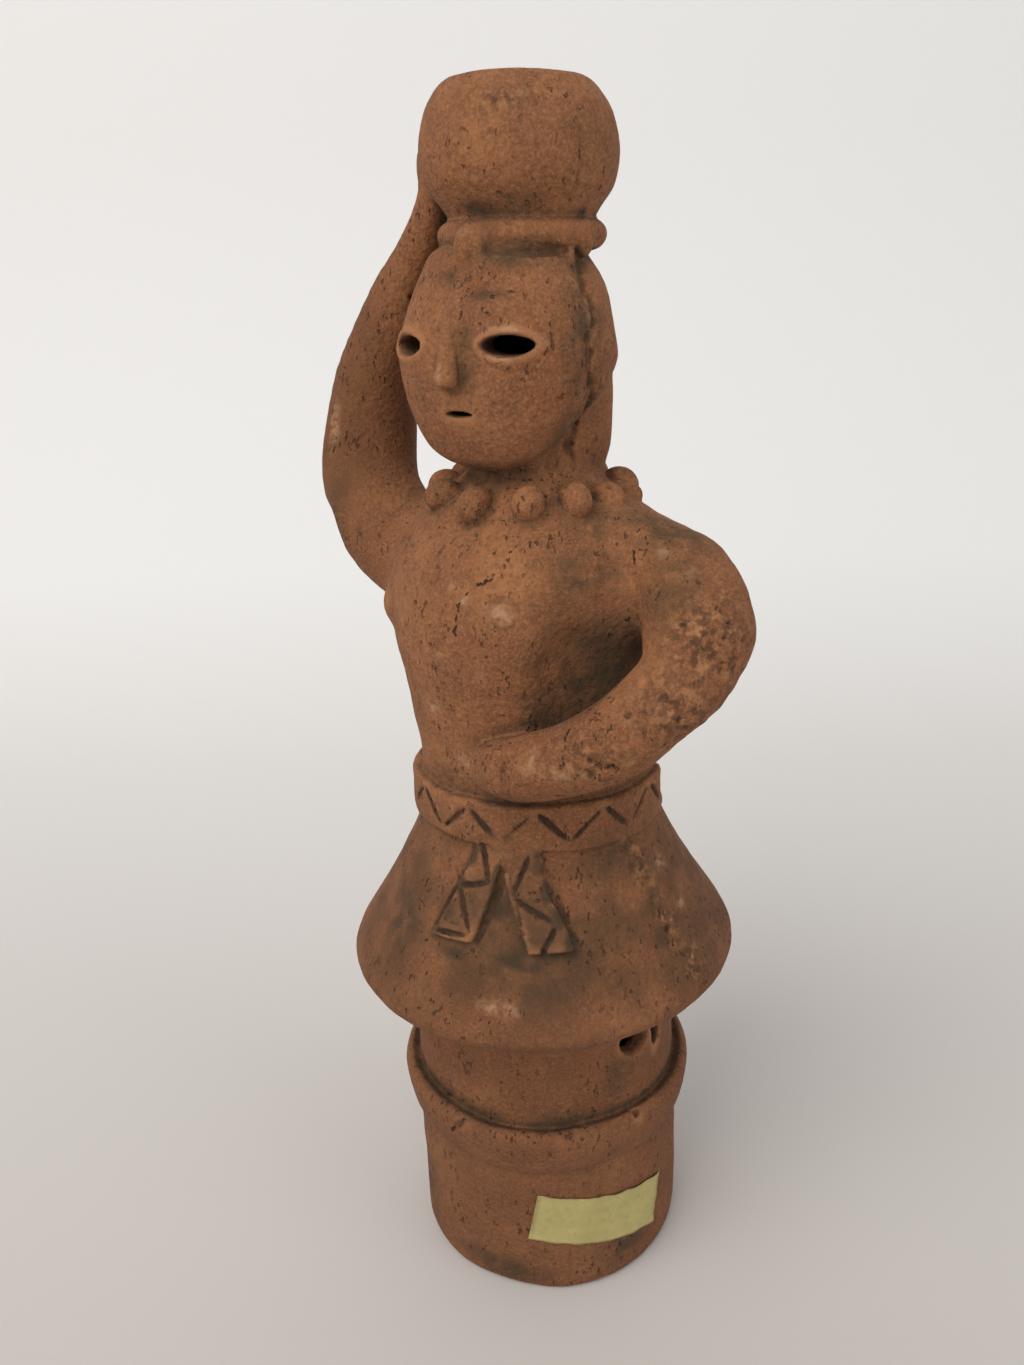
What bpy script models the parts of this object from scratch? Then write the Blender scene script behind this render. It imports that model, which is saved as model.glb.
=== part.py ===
"""Souvenir haniwa: a hollow terracotta figure of a woman who steadies a jar on her head.

The figure faces -Y and stands on a drum base. Her right arm (-X) is raised to the jar, and her
left hand (+X) rests on her hip. Lengths are in metres and +Z is up. The origin is on the floor,
on the drum's axis.
"""
import math

import bmesh
import bpy
from mathutils import Matrix, Vector

MM = 0.001

# Drum base and its raised rib
DRUM_RADIUS = 29.3 * MM
DRUM_HEIGHT = 63.0 * MM
DRUM_TAPER = 0.7 * MM
FOOT_WEAR = 1.0 * MM
RIB_CREST = 43.2 * MM
RIB_DEPTH = 2.8 * MM
RIB_DROP = 12.0 * MM
RIB_LEDGE = 2.6 * MM

# Skirt, from the top of the drum to the waist
HEM_RADIUS = 40.9 * MM
HEM_THICKNESS = 5.4 * MM
HEM_RISE = 8.6 * MM
SKIRT_HEIGHT = 48.0 * MM
SKIRT_LEAN = 1.4
SKIRT_HIGH_SIDE = 126

# Figure, from the waist to the top of the pad on her head, drawn on a grid of that many units
FIGURE_HEIGHT = 106.5 * MM
FIGURE_GRID = 106.5
UNIT = FIGURE_HEIGHT / FIGURE_GRID
WAIST_RADIUS = 23.9 * UNIT

# Jar on her head
JAR_RADIUS = 17.4 * MM
JAR_HEIGHT = 22.5 * MM
JAR_FOOT_RADIUS = 12.2 * MM
JAR_RIM_RADIUS = 11.6 * MM
JAR_MOUTH_RADIUS = 8.6 * MM
JAR_WALL = 4.0 * MM

# Fired clay wall of the hollow body, and the clay between the head's hollow and its skin
WALL = 4.8 * MM
SKULL_WALL = 4.6 * MM
NECK_BORE = 6.2 * MM

# Belt and sash, laid on the clay as flat straps
BELT_WIDTH = 9.0 * MM
BELT_PROUD = 2.1 * MM
STRAP_PROUD = 1.3 * MM
STRAP_LAP = 0.45 * MM
STRAP_SINK = 0.8 * MM
GROOVE_WIDTH = 1.5 * MM
ZIGZAG_TRIANGLES = 12

# Necklace of clay pellets
BEAD_RADIUS = 3.0 * MM
BEAD_ANGLES = (-124, -95, -67, -39, 0, 35, 64, 89, 113, 140, 168, 203)
NECKLACE_RADIUS = 16.6 * UNIT
NECKLACE_LEVEL = 60.4 * UNIT
NECKLACE_FALL = 1.2 * UNIT

# Openings that show
EYE_WIDTH = 9.6 * MM
EYE_HEIGHT = 3.3 * MM
EYE_OFFSET = 10.3 * UNIT
MOUTH_WIDTH = 6.2 * MM
MOUTH_HEIGHT = 1.1 * MM
SIDE_HOLE_LEVEL = DRUM_HEIGHT - 2.6 * MM
SIDE_HOLES = ((77.0, 3.9 * MM), (89.6, 2.4 * MM), (-100.0, 4.4 * MM))
FACE_TURN = -1

# Paper sticker on the drum, bare
STICKER_ARC = 31.4 * MM
STICKER_HEIGHT = 12.2 * MM
STICKER_THICKNESS = 0.25 * MM
STICKER_GAP = 0.35 * MM
STICKER_LEVEL = 17.9 * MM
STICKER_ANGLE = 58
STICKER_TILT = -11

# How finely the round forms are faceted
TURN_STEPS = 44
HOLLOW_STEPS = 24
BLEND_VOXEL = 1.3 * MM
BLEND_ROUNDS = 9
BLEND_KEEP = 0.049
OVERRUN = 1.0 * MM

HEM_LEVEL = DRUM_HEIGHT + HEM_RISE
WAIST_LEVEL = DRUM_HEIGHT + SKIRT_HEIGHT
JAR_LEVEL = WAIST_LEVEL + FIGURE_HEIGHT
TOP_LEVEL = JAR_LEVEL + JAR_HEIGHT
BELT_RADIUS = WAIST_RADIUS + BELT_PROUD


def on_grid(x, y, z):
    """A point of the upper figure, from grid units above the waist to metres."""
    return Vector((x * UNIT, y * UNIT, WAIST_LEVEL + z * UNIT))


def around(angle, radius, level):
    """A point at this angle from the front, positive towards her left."""
    turn = math.radians(angle)
    return Vector((radius * math.sin(turn), -radius * math.cos(turn), level))


def smooth(points, steps):
    """Points along a Catmull-Rom curve through the given points, steps for each span."""
    ends = [points[0], *points, points[-1]]
    found = []
    for a, b, c, d in zip(ends, ends[1:], ends[2:], ends[3:]):
        for step in range(steps):
            t = step / steps
            found.append(tuple(
                0.5 * (2 * q + (r - p) * t + (2 * p - 5 * q + 4 * r - s) * t * t
                       + (3 * q - p - 3 * r + s) * t ** 3)
                for p, q, r, s in zip(a, b, c, d)
            ))
    return [*found, tuple(points[-1])]


def add_object(name, mesh, collection):
    made = bpy.data.objects.new(name, mesh)
    collection.objects.link(made)
    return made


def frozen(source, collection):
    """The evaluated shape of an object as a plain welded mesh; the source is removed."""
    name = source.name
    bpy.context.view_layer.update()
    graph = bpy.context.evaluated_depsgraph_get()
    mesh = bpy.data.meshes.new_from_object(source.evaluated_get(graph))
    mesh.transform(source.matrix_world)
    bpy.data.objects.remove(source)
    body = bmesh.new()
    body.from_mesh(mesh)
    bmesh.ops.remove_doubles(body, verts=body.verts, dist=0.00001)
    bmesh.ops.recalc_face_normals(body, faces=body.faces)
    body.to_mesh(mesh)
    body.free()
    return add_object(name, mesh, collection)


def turned(name, profile, steps, collection):
    """A solid turned from a profile that runs down its outer side from axis to axis."""
    mesh = bpy.data.meshes.new(name)
    edges = [(i, i + 1) for i in range(len(profile) - 1)]
    mesh.from_pydata([(r, 0.0, z) for r, z in profile], edges, [])
    made = add_object(name, mesh, collection)
    screw = made.modifiers.new("turn", "SCREW")
    screw.steps = steps
    screw.render_steps = steps
    screw.use_merge_vertices = True
    screw.merge_threshold = 0.00001
    return frozen(made, collection)


def limb(name, path, collection):
    """A clay roll along a path of (x, y, z, radius) in grid units, with closed ends."""
    curve = bpy.data.curves.new(name, "CURVE")
    curve.dimensions = "3D"
    curve.bevel_depth = UNIT
    curve.bevel_resolution = 4
    curve.use_fill_caps = True
    spline = curve.splines.new("POLY")
    points = smooth(path, 4)
    spline.points.add(len(points) - 1)
    for point, (x, y, z, radius) in zip(spline.points, points):
        point.co = (*on_grid(x, y, z), 1.0)
        point.radius = radius
    return frozen(add_object(name, curve, collection), collection)


def ball(name, centre, radii, collection, turn=0.0, sides=(12, 8)):
    """A clay pellet: a sphere with its own radius on each axis, turned about Z."""
    body = bmesh.new()
    bmesh.ops.create_uvsphere(body, u_segments=sides[0], v_segments=sides[1], radius=1.0)
    place = Matrix.Translation(centre) @ Matrix.Rotation(math.radians(turn), 4, "Z")
    bmesh.ops.transform(body, matrix=place @ Matrix.Diagonal((*radii, 1.0)), verts=body.verts)
    mesh = bpy.data.meshes.new(name)
    body.to_mesh(mesh)
    body.free()
    return add_object(name, mesh, collection)


def shaped(name, collection, sides, place):
    """A unit sphere whose points are moved by the function place(x, y, z)."""
    body = bmesh.new()
    bmesh.ops.create_uvsphere(body, u_segments=sides[0], v_segments=sides[1], radius=1.0)
    for vertex in body.verts:
        vertex.co = place(*vertex.co)
    mesh = bpy.data.meshes.new(name)
    body.to_mesh(mesh)
    body.free()
    return add_object(name, mesh, collection)


def bar(name, start, end, radius, collection, sides=4, end_radius=None):
    """A straight bar between two points, used for strokes and round bores."""
    run = end - start
    body = bmesh.new()
    bmesh.ops.create_cone(
        body, cap_ends=True, segments=sides, radius1=radius,
        radius2=radius if end_radius is None else end_radius, depth=run.length,
    )
    facing = run.to_track_quat("Z", "Y").to_matrix().to_4x4()
    middle = Matrix.Translation((start + end) / 2)
    bmesh.ops.transform(body, matrix=middle @ facing, verts=body.verts)
    mesh = bpy.data.meshes.new(name)
    body.to_mesh(mesh)
    body.free()
    return add_object(name, mesh, collection)


def superellipse(angle, power):
    """A unit oval, squarer than a circle where power is over 2."""
    c, s = math.cos(angle), math.sin(angle)
    reach = (abs(c) ** power + abs(s) ** power) ** (-1 / power)
    return c * reach, s * reach


def lower_profile():
    """Outer side of the drum, the rib and the skirt, from the waist down to the foot."""
    drum_top = DRUM_RADIUS - DRUM_TAPER
    rise = WAIST_LEVEL - HEM_LEVEL - HEM_THICKNESS
    flare = HEM_RADIUS - WAIST_RADIUS
    shoulder = HEM_LEVEL + HEM_THICKNESS
    skirt = [
        (WAIST_RADIUS, WAIST_LEVEL),
        (WAIST_RADIUS + 0.04 * flare, shoulder + 0.84 * rise),
        (WAIST_RADIUS + 0.14 * flare, shoulder + 0.70 * rise),
        (WAIST_RADIUS + 0.34 * flare, shoulder + 0.49 * rise),
        (WAIST_RADIUS + 0.62 * flare, shoulder + 0.25 * rise),
        (WAIST_RADIUS + 0.86 * flare, shoulder + 0.06 * rise),
        (WAIST_RADIUS + 0.97 * flare, HEM_LEVEL + 0.75 * HEM_THICKNESS),
        (HEM_RADIUS, HEM_LEVEL + 0.36 * HEM_THICKNESS),
        (HEM_RADIUS - 0.25 * HEM_THICKNESS, HEM_LEVEL),
        (drum_top + 0.45 * (HEM_RADIUS - drum_top), DRUM_HEIGHT + 0.62 * HEM_RISE),
        (drum_top, DRUM_HEIGHT),
    ]
    drum = [
        (drum_top, RIB_CREST - 0.10 * RIB_LEDGE),
        (DRUM_RADIUS + 0.10 * RIB_DEPTH, RIB_CREST + 0.15 * RIB_LEDGE),
        (DRUM_RADIUS + 0.50 * RIB_DEPTH, RIB_CREST + 0.55 * RIB_LEDGE),
        (DRUM_RADIUS + 0.86 * RIB_DEPTH, RIB_CREST + 0.32 * RIB_LEDGE),
        (DRUM_RADIUS + RIB_DEPTH, RIB_CREST - 0.08 * RIB_DROP),
        (DRUM_RADIUS + 0.80 * RIB_DEPTH, RIB_CREST - 0.38 * RIB_DROP),
        (DRUM_RADIUS + 0.30 * RIB_DEPTH, RIB_CREST - 0.76 * RIB_DROP),
        (DRUM_RADIUS, RIB_CREST - RIB_DROP),
        (DRUM_RADIUS, 2.4 * FOOT_WEAR),
        (DRUM_RADIUS - 0.35 * FOOT_WEAR, 0.8 * FOOT_WEAR),
        (DRUM_RADIUS - FOOT_WEAR, 0.0),
    ]
    return skirt, drum


def skin_radius(level):
    """Outer radius of the drum and skirt at a level, read off the turned profile."""
    skirt, drum = lower_profile()
    line = skirt + drum
    for (r1, z1), (r2, z2) in zip(line, line[1:]):
        if z2 <= level <= z1 and z1 > z2:
            return r1 + (r2 - r1) * (z1 - level) / (z1 - z2)
    return WAIST_RADIUS


def lower_body(collection):
    """Drum, rib and skirt, closed by a flat top in the torso; the skirt leans a little."""
    skirt, drum = lower_profile()
    profile = [(0.0, WAIST_LEVEL), *skirt, *drum, (0.0, 0.0)]
    made = turned("lower_body", profile, TURN_STEPS, collection)
    high_side = around(SKIRT_HIGH_SIDE, math.tan(math.radians(SKIRT_LEAN)), 0.0)
    for vertex in made.data.vertices:
        share = min((vertex.co.z - DRUM_HEIGHT) / HEM_RISE, (WAIST_LEVEL - vertex.co.z) / HEM_RISE)
        lift = vertex.co.x * high_side.x + vertex.co.y * high_side.y
        vertex.co.z += lift * min(1.0, max(0.0, share))
    return made


def torso(collection):
    """Trunk and neck as one turned form, made shallower front to back towards the shoulders."""
    outline = [
        (0.0, 76), (10.4, 76), (10.6, 69), (11.4, 64.5), (14.2, 61.6), (18.6, 58.4), (23.0, 54),
        (26.8, 48), (28.2, 41), (27.8, 34), (26.6, 27), (25.5, 20), (24.5, 12), (23.9, 5),
        (23.7, 0), (23.2, -6), (0.0, -6),
    ]
    profile = [(r * UNIT, WAIST_LEVEL + z * UNIT) for r, z in outline]
    made = turned("torso", profile, TURN_STEPS, collection)
    chest = WAIST_LEVEL + 30 * UNIT
    shoulder = WAIST_LEVEL + 56 * UNIT
    for vertex in made.data.vertices:
        rise = (vertex.co.z - chest) / (shoulder - chest)
        share = min(1.0, max(0.0, rise))
        neck = 1.0 if vertex.co.z > WAIST_LEVEL + 62 * UNIT else 0.0
        vertex.co.y *= 1.0 - 0.11 * share * (1.0 - neck)
    return made


def arms(collection):
    """The left arm bends to the hip, and the right arm rises to hold the jar."""
    left = [
        (5, 2.5, 47.0, 8.5), (17, 2.5, 48.2, 9.4), (27, 1.4, 47.2, 9.8), (35.2, -1.8, 43.4, 9.8),
        (39.6, -5.8, 37.4, 9.5), (39.7, -10.2, 31.2, 8.7), (35.4, -15.6, 25.2, 7.8),
        (29.2, -20.0, 20.3, 7.0), (22.6, -22.8, 16.7, 6.5), (15.6, -24.6, 14.2, 6.2),
        (10.2, -24.9, 13.2, 5.4), (6.6, -24.6, 13.0, 3.6), (5.0, -24.2, 13.0, 1.4),
    ]
    right = [
        (-5, -1.0, 42.0, 9.0), (-17, -3.0, 43.4, 10.6), (-27.0, -5.0, 46.4, 10.6),
        (-34.8, -4.4, 52.2, 10.0), (-39.8, -2.0, 59.8, 9.9), (-40.6, 0.4, 69.0, 9.5),
        (-38.8, 0.8, 77.8, 8.5), (-34.8, 0.8, 86.7, 7.2), (-28.8, 0.4, 96.1, 5.7),
        (-23.0, -0.4, 104.8, 4.8), (-19.9, -0.6, 112.4, 4.3), (-18.8, -0.6, 118, 3.4),
        (-18.3, -0.6, 120.6, 1.6),
    ]
    return [limb("left_arm", left, collection), limb("right_arm", right, collection)]


# The head by level: half-width at each height, in grid units
HEAD_LEVELS = (
    (64.4, 6.5), (65.2, 11.0), (67.0, 14.8), (70.2, 17.0), (74.8, 18.5), (79.8, 19.4), (85.5, 19.7),
    (90.5, 18.6), (95.0, 16.8), (99.0, 14.8), (102.0, 13.0), (104.0, 9.0),
)
HEAD_CENTRE = (-1.0, -3.1)
HEAD_FRONT = 0.905
HEAD_BACK = 0.92
JAW_FALL = 0.54
JAW_TOP = 84.0


def head_width(level):
    """Half-width of the head at a level, in grid units."""
    for (z1, r1), (z2, r2) in zip(HEAD_LEVELS, HEAD_LEVELS[1:]):
        if level <= z2:
            return r1 + (r2 - r1) * max(0.0, level - z1) / (z2 - z1)
    return HEAD_LEVELS[-1][1]


def head_point(side, depth, level):
    """Turn a head position about the neck; the jaw rises from the chin back to the ears."""
    fall = JAW_FALL * max(0.0, JAW_TOP - level) / (JAW_TOP - HEAD_LEVELS[0][0])
    front = HEAD_FRONT * head_width(level)
    turn = math.radians(FACE_TURN)
    x = side * math.cos(turn) - depth * math.sin(turn) + HEAD_CENTRE[0]
    y = side * math.sin(turn) + depth * math.cos(turn) + HEAD_CENTRE[1]
    return on_grid(x, y, level + fall * (depth + front))


def head(collection):
    """Egg-shaped head with a flattened face and a rising jaw, and the hair that hangs behind."""
    sides = 30
    rings = smooth([(level, width) for level, width in HEAD_LEVELS], 2)
    body = bmesh.new()
    loops = []
    for level, width in rings:
        loop = []
        for number in range(sides):
            wide, deep = superellipse(2 * math.pi * number / sides, 2.5)
            reach = HEAD_FRONT if deep < 0 else HEAD_BACK
            loop.append(body.verts.new(head_point(wide * width, deep * width * reach, level)))
        loops.append(loop)
    for low, high in zip(loops, loops[1:]):
        for number in range(sides):
            after = (number + 1) % sides
            body.faces.new((low[number], low[after], high[after], high[number]))
    body.faces.new(list(reversed(loops[0])))
    body.faces.new(loops[-1])
    bmesh.ops.recalc_face_normals(body, faces=body.faces)
    mesh = bpy.data.meshes.new("head")
    body.to_mesh(mesh)
    body.free()
    skull = add_object("head", mesh, collection)

    def hair(x, y, z):
        low = 0.5 - 0.5 * z
        wide = 16.6 - 3.4 * low
        deep = 11.2 - 3.6 * low
        back = 4.4 + 3.6 * low
        power = 2.3 if z > 0 else 6
        spread = (1.0 - min(1.0, abs(z)) ** power) ** (1 / power)
        ring = max(1e-6, math.hypot(x, y))
        rise = 25.0 if z > 0 else 20.5
        return on_grid(wide * x / ring * spread - 0.6, back + deep * y / ring * spread, 79.0 + rise * z)

    return [skull, shaped("hair", collection, (24, 16), hair)]


def blended_figure(collection):
    """Torso, arms and head pressed together and smoothed over, as wet clay is."""
    pieces = [torso(collection), *arms(collection), *head(collection)]
    body = bmesh.new()
    for piece in pieces:
        body.from_mesh(piece.data)
        bpy.data.objects.remove(piece)
    mesh = bpy.data.meshes.new("figure")
    body.to_mesh(mesh)
    body.free()
    made = add_object("figure", mesh, collection)
    remesh = made.modifiers.new("press", "REMESH")
    remesh.mode = "VOXEL"
    remesh.voxel_size = BLEND_VOXEL
    wipe = made.modifiers.new("wipe", "SMOOTH")
    wipe.factor = 0.5
    wipe.iterations = round(BLEND_ROUNDS)
    thin = made.modifiers.new("thin", "DECIMATE")
    thin.ratio = BLEND_KEEP
    return frozen(made, collection)


def jar(collection):
    """A squat round jar, its foot sunk in the pad and its rim cut flat."""
    bulge = JAR_RADIUS
    outline = [
        (JAR_RIM_RADIUS, JAR_HEIGHT),
        (JAR_RIM_RADIUS + 0.26 * (bulge - JAR_RIM_RADIUS), 0.965 * JAR_HEIGHT),
        (JAR_RIM_RADIUS + 0.56 * (bulge - JAR_RIM_RADIUS), 0.88 * JAR_HEIGHT),
        (JAR_RIM_RADIUS + 0.82 * (bulge - JAR_RIM_RADIUS), 0.76 * JAR_HEIGHT),
        (bulge, 0.52 * JAR_HEIGHT),
        (JAR_FOOT_RADIUS + 0.80 * (bulge - JAR_FOOT_RADIUS), 0.28 * JAR_HEIGHT),
        (JAR_FOOT_RADIUS + 0.30 * (bulge - JAR_FOOT_RADIUS), 0.10 * JAR_HEIGHT),
        (JAR_FOOT_RADIUS, -0.03 * JAR_HEIGHT),
    ]
    sunk = -4.0 * UNIT
    side = [(r, JAR_LEVEL + z) for r, z in outline]
    profile = [(0.0, TOP_LEVEL), *side, (JAR_FOOT_RADIUS, JAR_LEVEL + sunk), (0.0, JAR_LEVEL + sunk)]
    return turned("jar", profile, 32, collection)


def head_pad(collection):
    """The rolled cloth ring under the jar, with its end hanging in front and a lump at the seam."""
    radius, half = 13.5 * UNIT, 2.8 * UNIT
    middle = JAR_LEVEL - 2.0 * UNIT
    roll = [
        (radius - 0.7 * half + 1.15 * half * math.cos(math.radians(a)),
         middle + half * math.sin(math.radians(a)))
        for a in range(72, -73, -36)
    ]
    profile = [(0.0, roll[0][1]), *roll, (0.0, roll[-1][1])]
    pad = turned("pad", profile, 32, collection)
    turn = 1
    tail = ball(
        "pad_tail", around(turn, 14.4 * UNIT, JAR_LEVEL - 4.4 * UNIT),
        (3.6 * UNIT, 2.6 * UNIT, 4.6 * UNIT), collection, turn=turn,
    )
    lump = ball(
        "pad_lump", around(84, 13.6 * UNIT, JAR_LEVEL - 3.2 * UNIT),
        (1.8 * UNIT, 1.7 * UNIT, 3.4 * UNIT), collection, turn=80,
    )
    return [pad, tail, lump]


def on_face(side, level):
    """A point on the flattened face at this side step and height, in grid units."""
    low, high = 60.0, 104.0
    for _ in range(30):
        middle = (low + high) / 2
        width = head_width(middle)
        across = min(0.97, abs(side) / width)
        depth = -HEAD_FRONT * width * (1.0 - across ** 2.5) ** (1 / 2.5)
        found = head_point(side, depth, middle)
        if found.z < WAIST_LEVEL + level * UNIT:
            low = middle
        else:
            high = middle
    return found


def face_relief(collection):
    """Pinched nose, a straight wedge that fades into the brow."""
    tip = on_face(0.0, 79.0) + Vector((0, -0.9 * UNIT, 0))
    bridge = on_face(0.0, 91.5) + Vector((0, 1.0 * UNIT, 0))
    return [bar("nose", tip, bridge, 2.7 * UNIT, collection, sides=8, end_radius=1.3 * UNIT)]


def necklace(collection):
    """Clay pellets pressed on round the foot of the neck."""
    return [
        ball(
            f"bead_{number}",
            around(
                angle, NECKLACE_RADIUS,
                WAIST_LEVEL + NECKLACE_LEVEL - NECKLACE_FALL * math.cos(math.radians(angle)),
            ),
            (BEAD_RADIUS, 1.18 * BEAD_RADIUS, 1.08 * BEAD_RADIUS),
            collection, turn=angle, sides=(8, 6),
        )
        for number, angle in enumerate(BEAD_ANGLES)
    ]


def breasts(collection):
    """Two low round buttons of clay on the chest."""
    places = [(25, 24.6, 41.2), (-47, 25.6, 37.4)]
    return [
        ball(
            f"breast_{number}", around(angle, radius * UNIT, WAIST_LEVEL + level * UNIT),
            (4.2 * UNIT, 2.4 * UNIT, 4.0 * UNIT), collection, turn=angle,
        )
        for number, (angle, radius, level) in enumerate(places)
    ]


def belt(collection):
    """The belt: a turned band round the waist, deeper at the sides than in front."""
    half = BELT_WIDTH / 2
    edge = 0.28 * BELT_PROUD
    outline = [
        (WAIST_RADIUS - STRAP_SINK, half), (BELT_RADIUS - edge, half - 0.2 * BELT_PROUD),
        (BELT_RADIUS, half - 0.9 * BELT_PROUD), (BELT_RADIUS, -half + 0.9 * BELT_PROUD),
        (BELT_RADIUS - edge, -half + 0.2 * BELT_PROUD), (WAIST_RADIUS - STRAP_SINK, -half),
    ]
    profile = [(0.0, WAIST_LEVEL + half), *((r, WAIST_LEVEL + z) for r, z in outline),
               (0.0, WAIST_LEVEL - half)]
    made = turned("belt", profile, TURN_STEPS, collection)
    made.data.transform(Matrix.Rotation(math.radians(2.9), 4, "Z"))
    for vertex in made.data.vertices:
        aside = 0.5 - 0.5 * math.cos(2 * math.atan2(vertex.co.x, -vertex.co.y))
        if vertex.co.z < WAIST_LEVEL:
            vertex.co.z -= 0.22 * BELT_WIDTH * aside
    return made


def strap(name, corners, proud, collection):
    """A flat sash end on the skirt. Corners are (angle, level), top left first, clockwise."""
    across, down = 3, 6
    body = bmesh.new()
    bmesh.ops.create_grid(body, x_segments=across, y_segments=down, size=1.0)
    (al, zl), (ar, zr), (br, wr), (bl, wl) = corners
    for vertex in body.verts:
        u, v = (vertex.co.x + 1) / 2, (vertex.co.y + 1) / 2
        top_angle, top_level = al + (ar - al) * u, zl + (zr - zl) * u
        low_angle, low_level = bl + (br - bl) * u, wl + (wr - wl) * u
        angle = low_angle + (top_angle - low_angle) * v
        level = low_level + (top_level - low_level) * v
        vertex.co = around(angle, skin_radius(level) + proud, level)
    bmesh.ops.recalc_face_normals(body, faces=body.faces)
    mesh = bpy.data.meshes.new(name)
    body.to_mesh(mesh)
    body.free()
    made = add_object(name, mesh, collection)
    outward = sum((face.normal.dot(Vector((face.center.x, face.center.y, 0))) for face in mesh.polygons))
    if outward < 0:
        mesh.flip_normals()
    thick = made.modifiers.new("thick", "SOLIDIFY")
    thick.thickness = proud + STRAP_SINK
    thick.offset = -1.0
    return frozen(made, collection)


def sash_corners():
    """Corners of the two sash ends, as angles from the front and levels under the belt."""
    top = WAIST_LEVEL - 0.36 * BELT_WIDTH
    foot = HEM_LEVEL + 0.42 * (WAIST_LEVEL - HEM_LEVEL)
    right_end = [(7, top), (22, top), (11, foot - 0.4 * MM), (-5.5, foot + 0.6 * MM)]
    left_end = [(15, top), (34, top), (46, foot + 1.8 * MM), (31, foot - 0.2 * MM)]
    return right_end, left_end


def sash(collection):
    right_end, left_end = sash_corners()
    return [
        strap("sash_right", right_end, STRAP_PROUD, collection),
        strap("sash_left", left_end, STRAP_PROUD + STRAP_LAP, collection),
    ]


# Cuts on the sash ends: start and end of each, as shares across and down the strap
RIGHT_END_CUTS = (
    (0.24, 0.08, 0.62, 0.32), (0.20, 0.47, 0.72, 0.43), (0.20, 0.60, 0.74, 0.81),
    (0.16, 0.92, 0.60, 0.95),
)
LEFT_END_CUTS = (
    (0.78, 0.16, 0.40, 0.40), (0.26, 0.52, 0.76, 0.65), (0.76, 0.78, 0.36, 0.95),
)


def stroke(name, start, end, lift, collection):
    """A cut groove between two (angle, level) points on the skirt or belt."""
    ends = []
    for angle, level in (start, end):
        radius = BELT_RADIUS if level > WAIST_LEVEL - BELT_WIDTH / 2 else skin_radius(level) + lift
        ends.append(around(angle, radius, level))
    return bar(name, ends[0], ends[1], GROOVE_WIDTH / 2, collection)


def grooves(collection):
    """The zigzag round the belt and the crossing cuts on the sash ends."""
    found = []
    step = 360 / ZIGZAG_TRIANGLES
    high = WAIST_LEVEL + 0.30 * BELT_WIDTH
    low = WAIST_LEVEL - 0.26 * BELT_WIDTH
    for number in range(ZIGZAG_TRIANGLES):
        left = 5.6 + number * step
        found.append(stroke(f"zig_{number}", (left, high), (left + 0.36 * step, low), 0, collection))
        found.append(
            stroke(f"zag_{number}", (left + 0.52 * step, low), (left + 0.86 * step, high), 0, collection)
        )
    lifts = (STRAP_PROUD, STRAP_PROUD + STRAP_LAP)
    for end, (corners, cuts) in enumerate(zip(sash_corners(), (RIGHT_END_CUTS, LEFT_END_CUTS))):
        (al, zt), (ar, _), (br, zb), (bl, _) = corners
        for number, cut in enumerate(cuts):
            ends = []
            for across, down in (cut[:2], cut[2:]):
                left, right = al + (bl - al) * down, ar + (br - ar) * down
                ends.append((left + (right - left) * across, zt + (zb - zt) * down))
            found.append(stroke(f"sash_cut_{end}_{number}", *ends, lifts[end], collection))
    return found


def hollow(collection):
    """The space inside: drum, skirt, trunk, neck and head, open at the foot."""
    inner = DRUM_RADIUS - WALL
    skirt_top = WAIST_RADIUS - WALL
    skull = 18.0 * UNIT - SKULL_WALL
    low_skull, top_skull = 70.5, 98.5
    outline = [
        (0.0, WAIST_LEVEL + top_skull * UNIT),
        (0.55 * skull, WAIST_LEVEL + (top_skull - 1.6) * UNIT),
        (0.90 * skull, WAIST_LEVEL + (top_skull - 7) * UNIT),
        (skull, WAIST_LEVEL + (top_skull - 13) * UNIT),
        (0.90 * skull, WAIST_LEVEL + (low_skull + 7) * UNIT),
        (0.62 * skull, WAIST_LEVEL + (low_skull + 2.6) * UNIT),
        (NECK_BORE, WAIST_LEVEL + low_skull * UNIT),
        (NECK_BORE, WAIST_LEVEL + 58.5 * UNIT),
        (1.9 * NECK_BORE, WAIST_LEVEL + 53.5 * UNIT),
        (19.6 * UNIT - WALL, WAIST_LEVEL + 47 * UNIT),
        (22.2 * UNIT - WALL, WAIST_LEVEL + 38 * UNIT),
        (23.4 * UNIT - WALL, WAIST_LEVEL + 22 * UNIT),
        (skirt_top, WAIST_LEVEL),
        (skirt_top + 0.10 * (HEM_RADIUS - WAIST_RADIUS), WAIST_LEVEL - 0.22 * SKIRT_HEIGHT),
        (skirt_top + 0.36 * (HEM_RADIUS - WAIST_RADIUS), WAIST_LEVEL - 0.44 * SKIRT_HEIGHT),
        (skirt_top + 0.74 * (HEM_RADIUS - WAIST_RADIUS), WAIST_LEVEL - 0.66 * SKIRT_HEIGHT),
        (max(inner, skirt_top + 0.80 * (HEM_RADIUS - WAIST_RADIUS)), HEM_LEVEL + 0.8 * HEM_THICKNESS),
        (inner, DRUM_HEIGHT - 1.0 * MM),
        (inner, -OVERRUN),
        (0.0, -OVERRUN),
    ]
    return turned("hollow", outline, HOLLOW_STEPS, collection)


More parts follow.
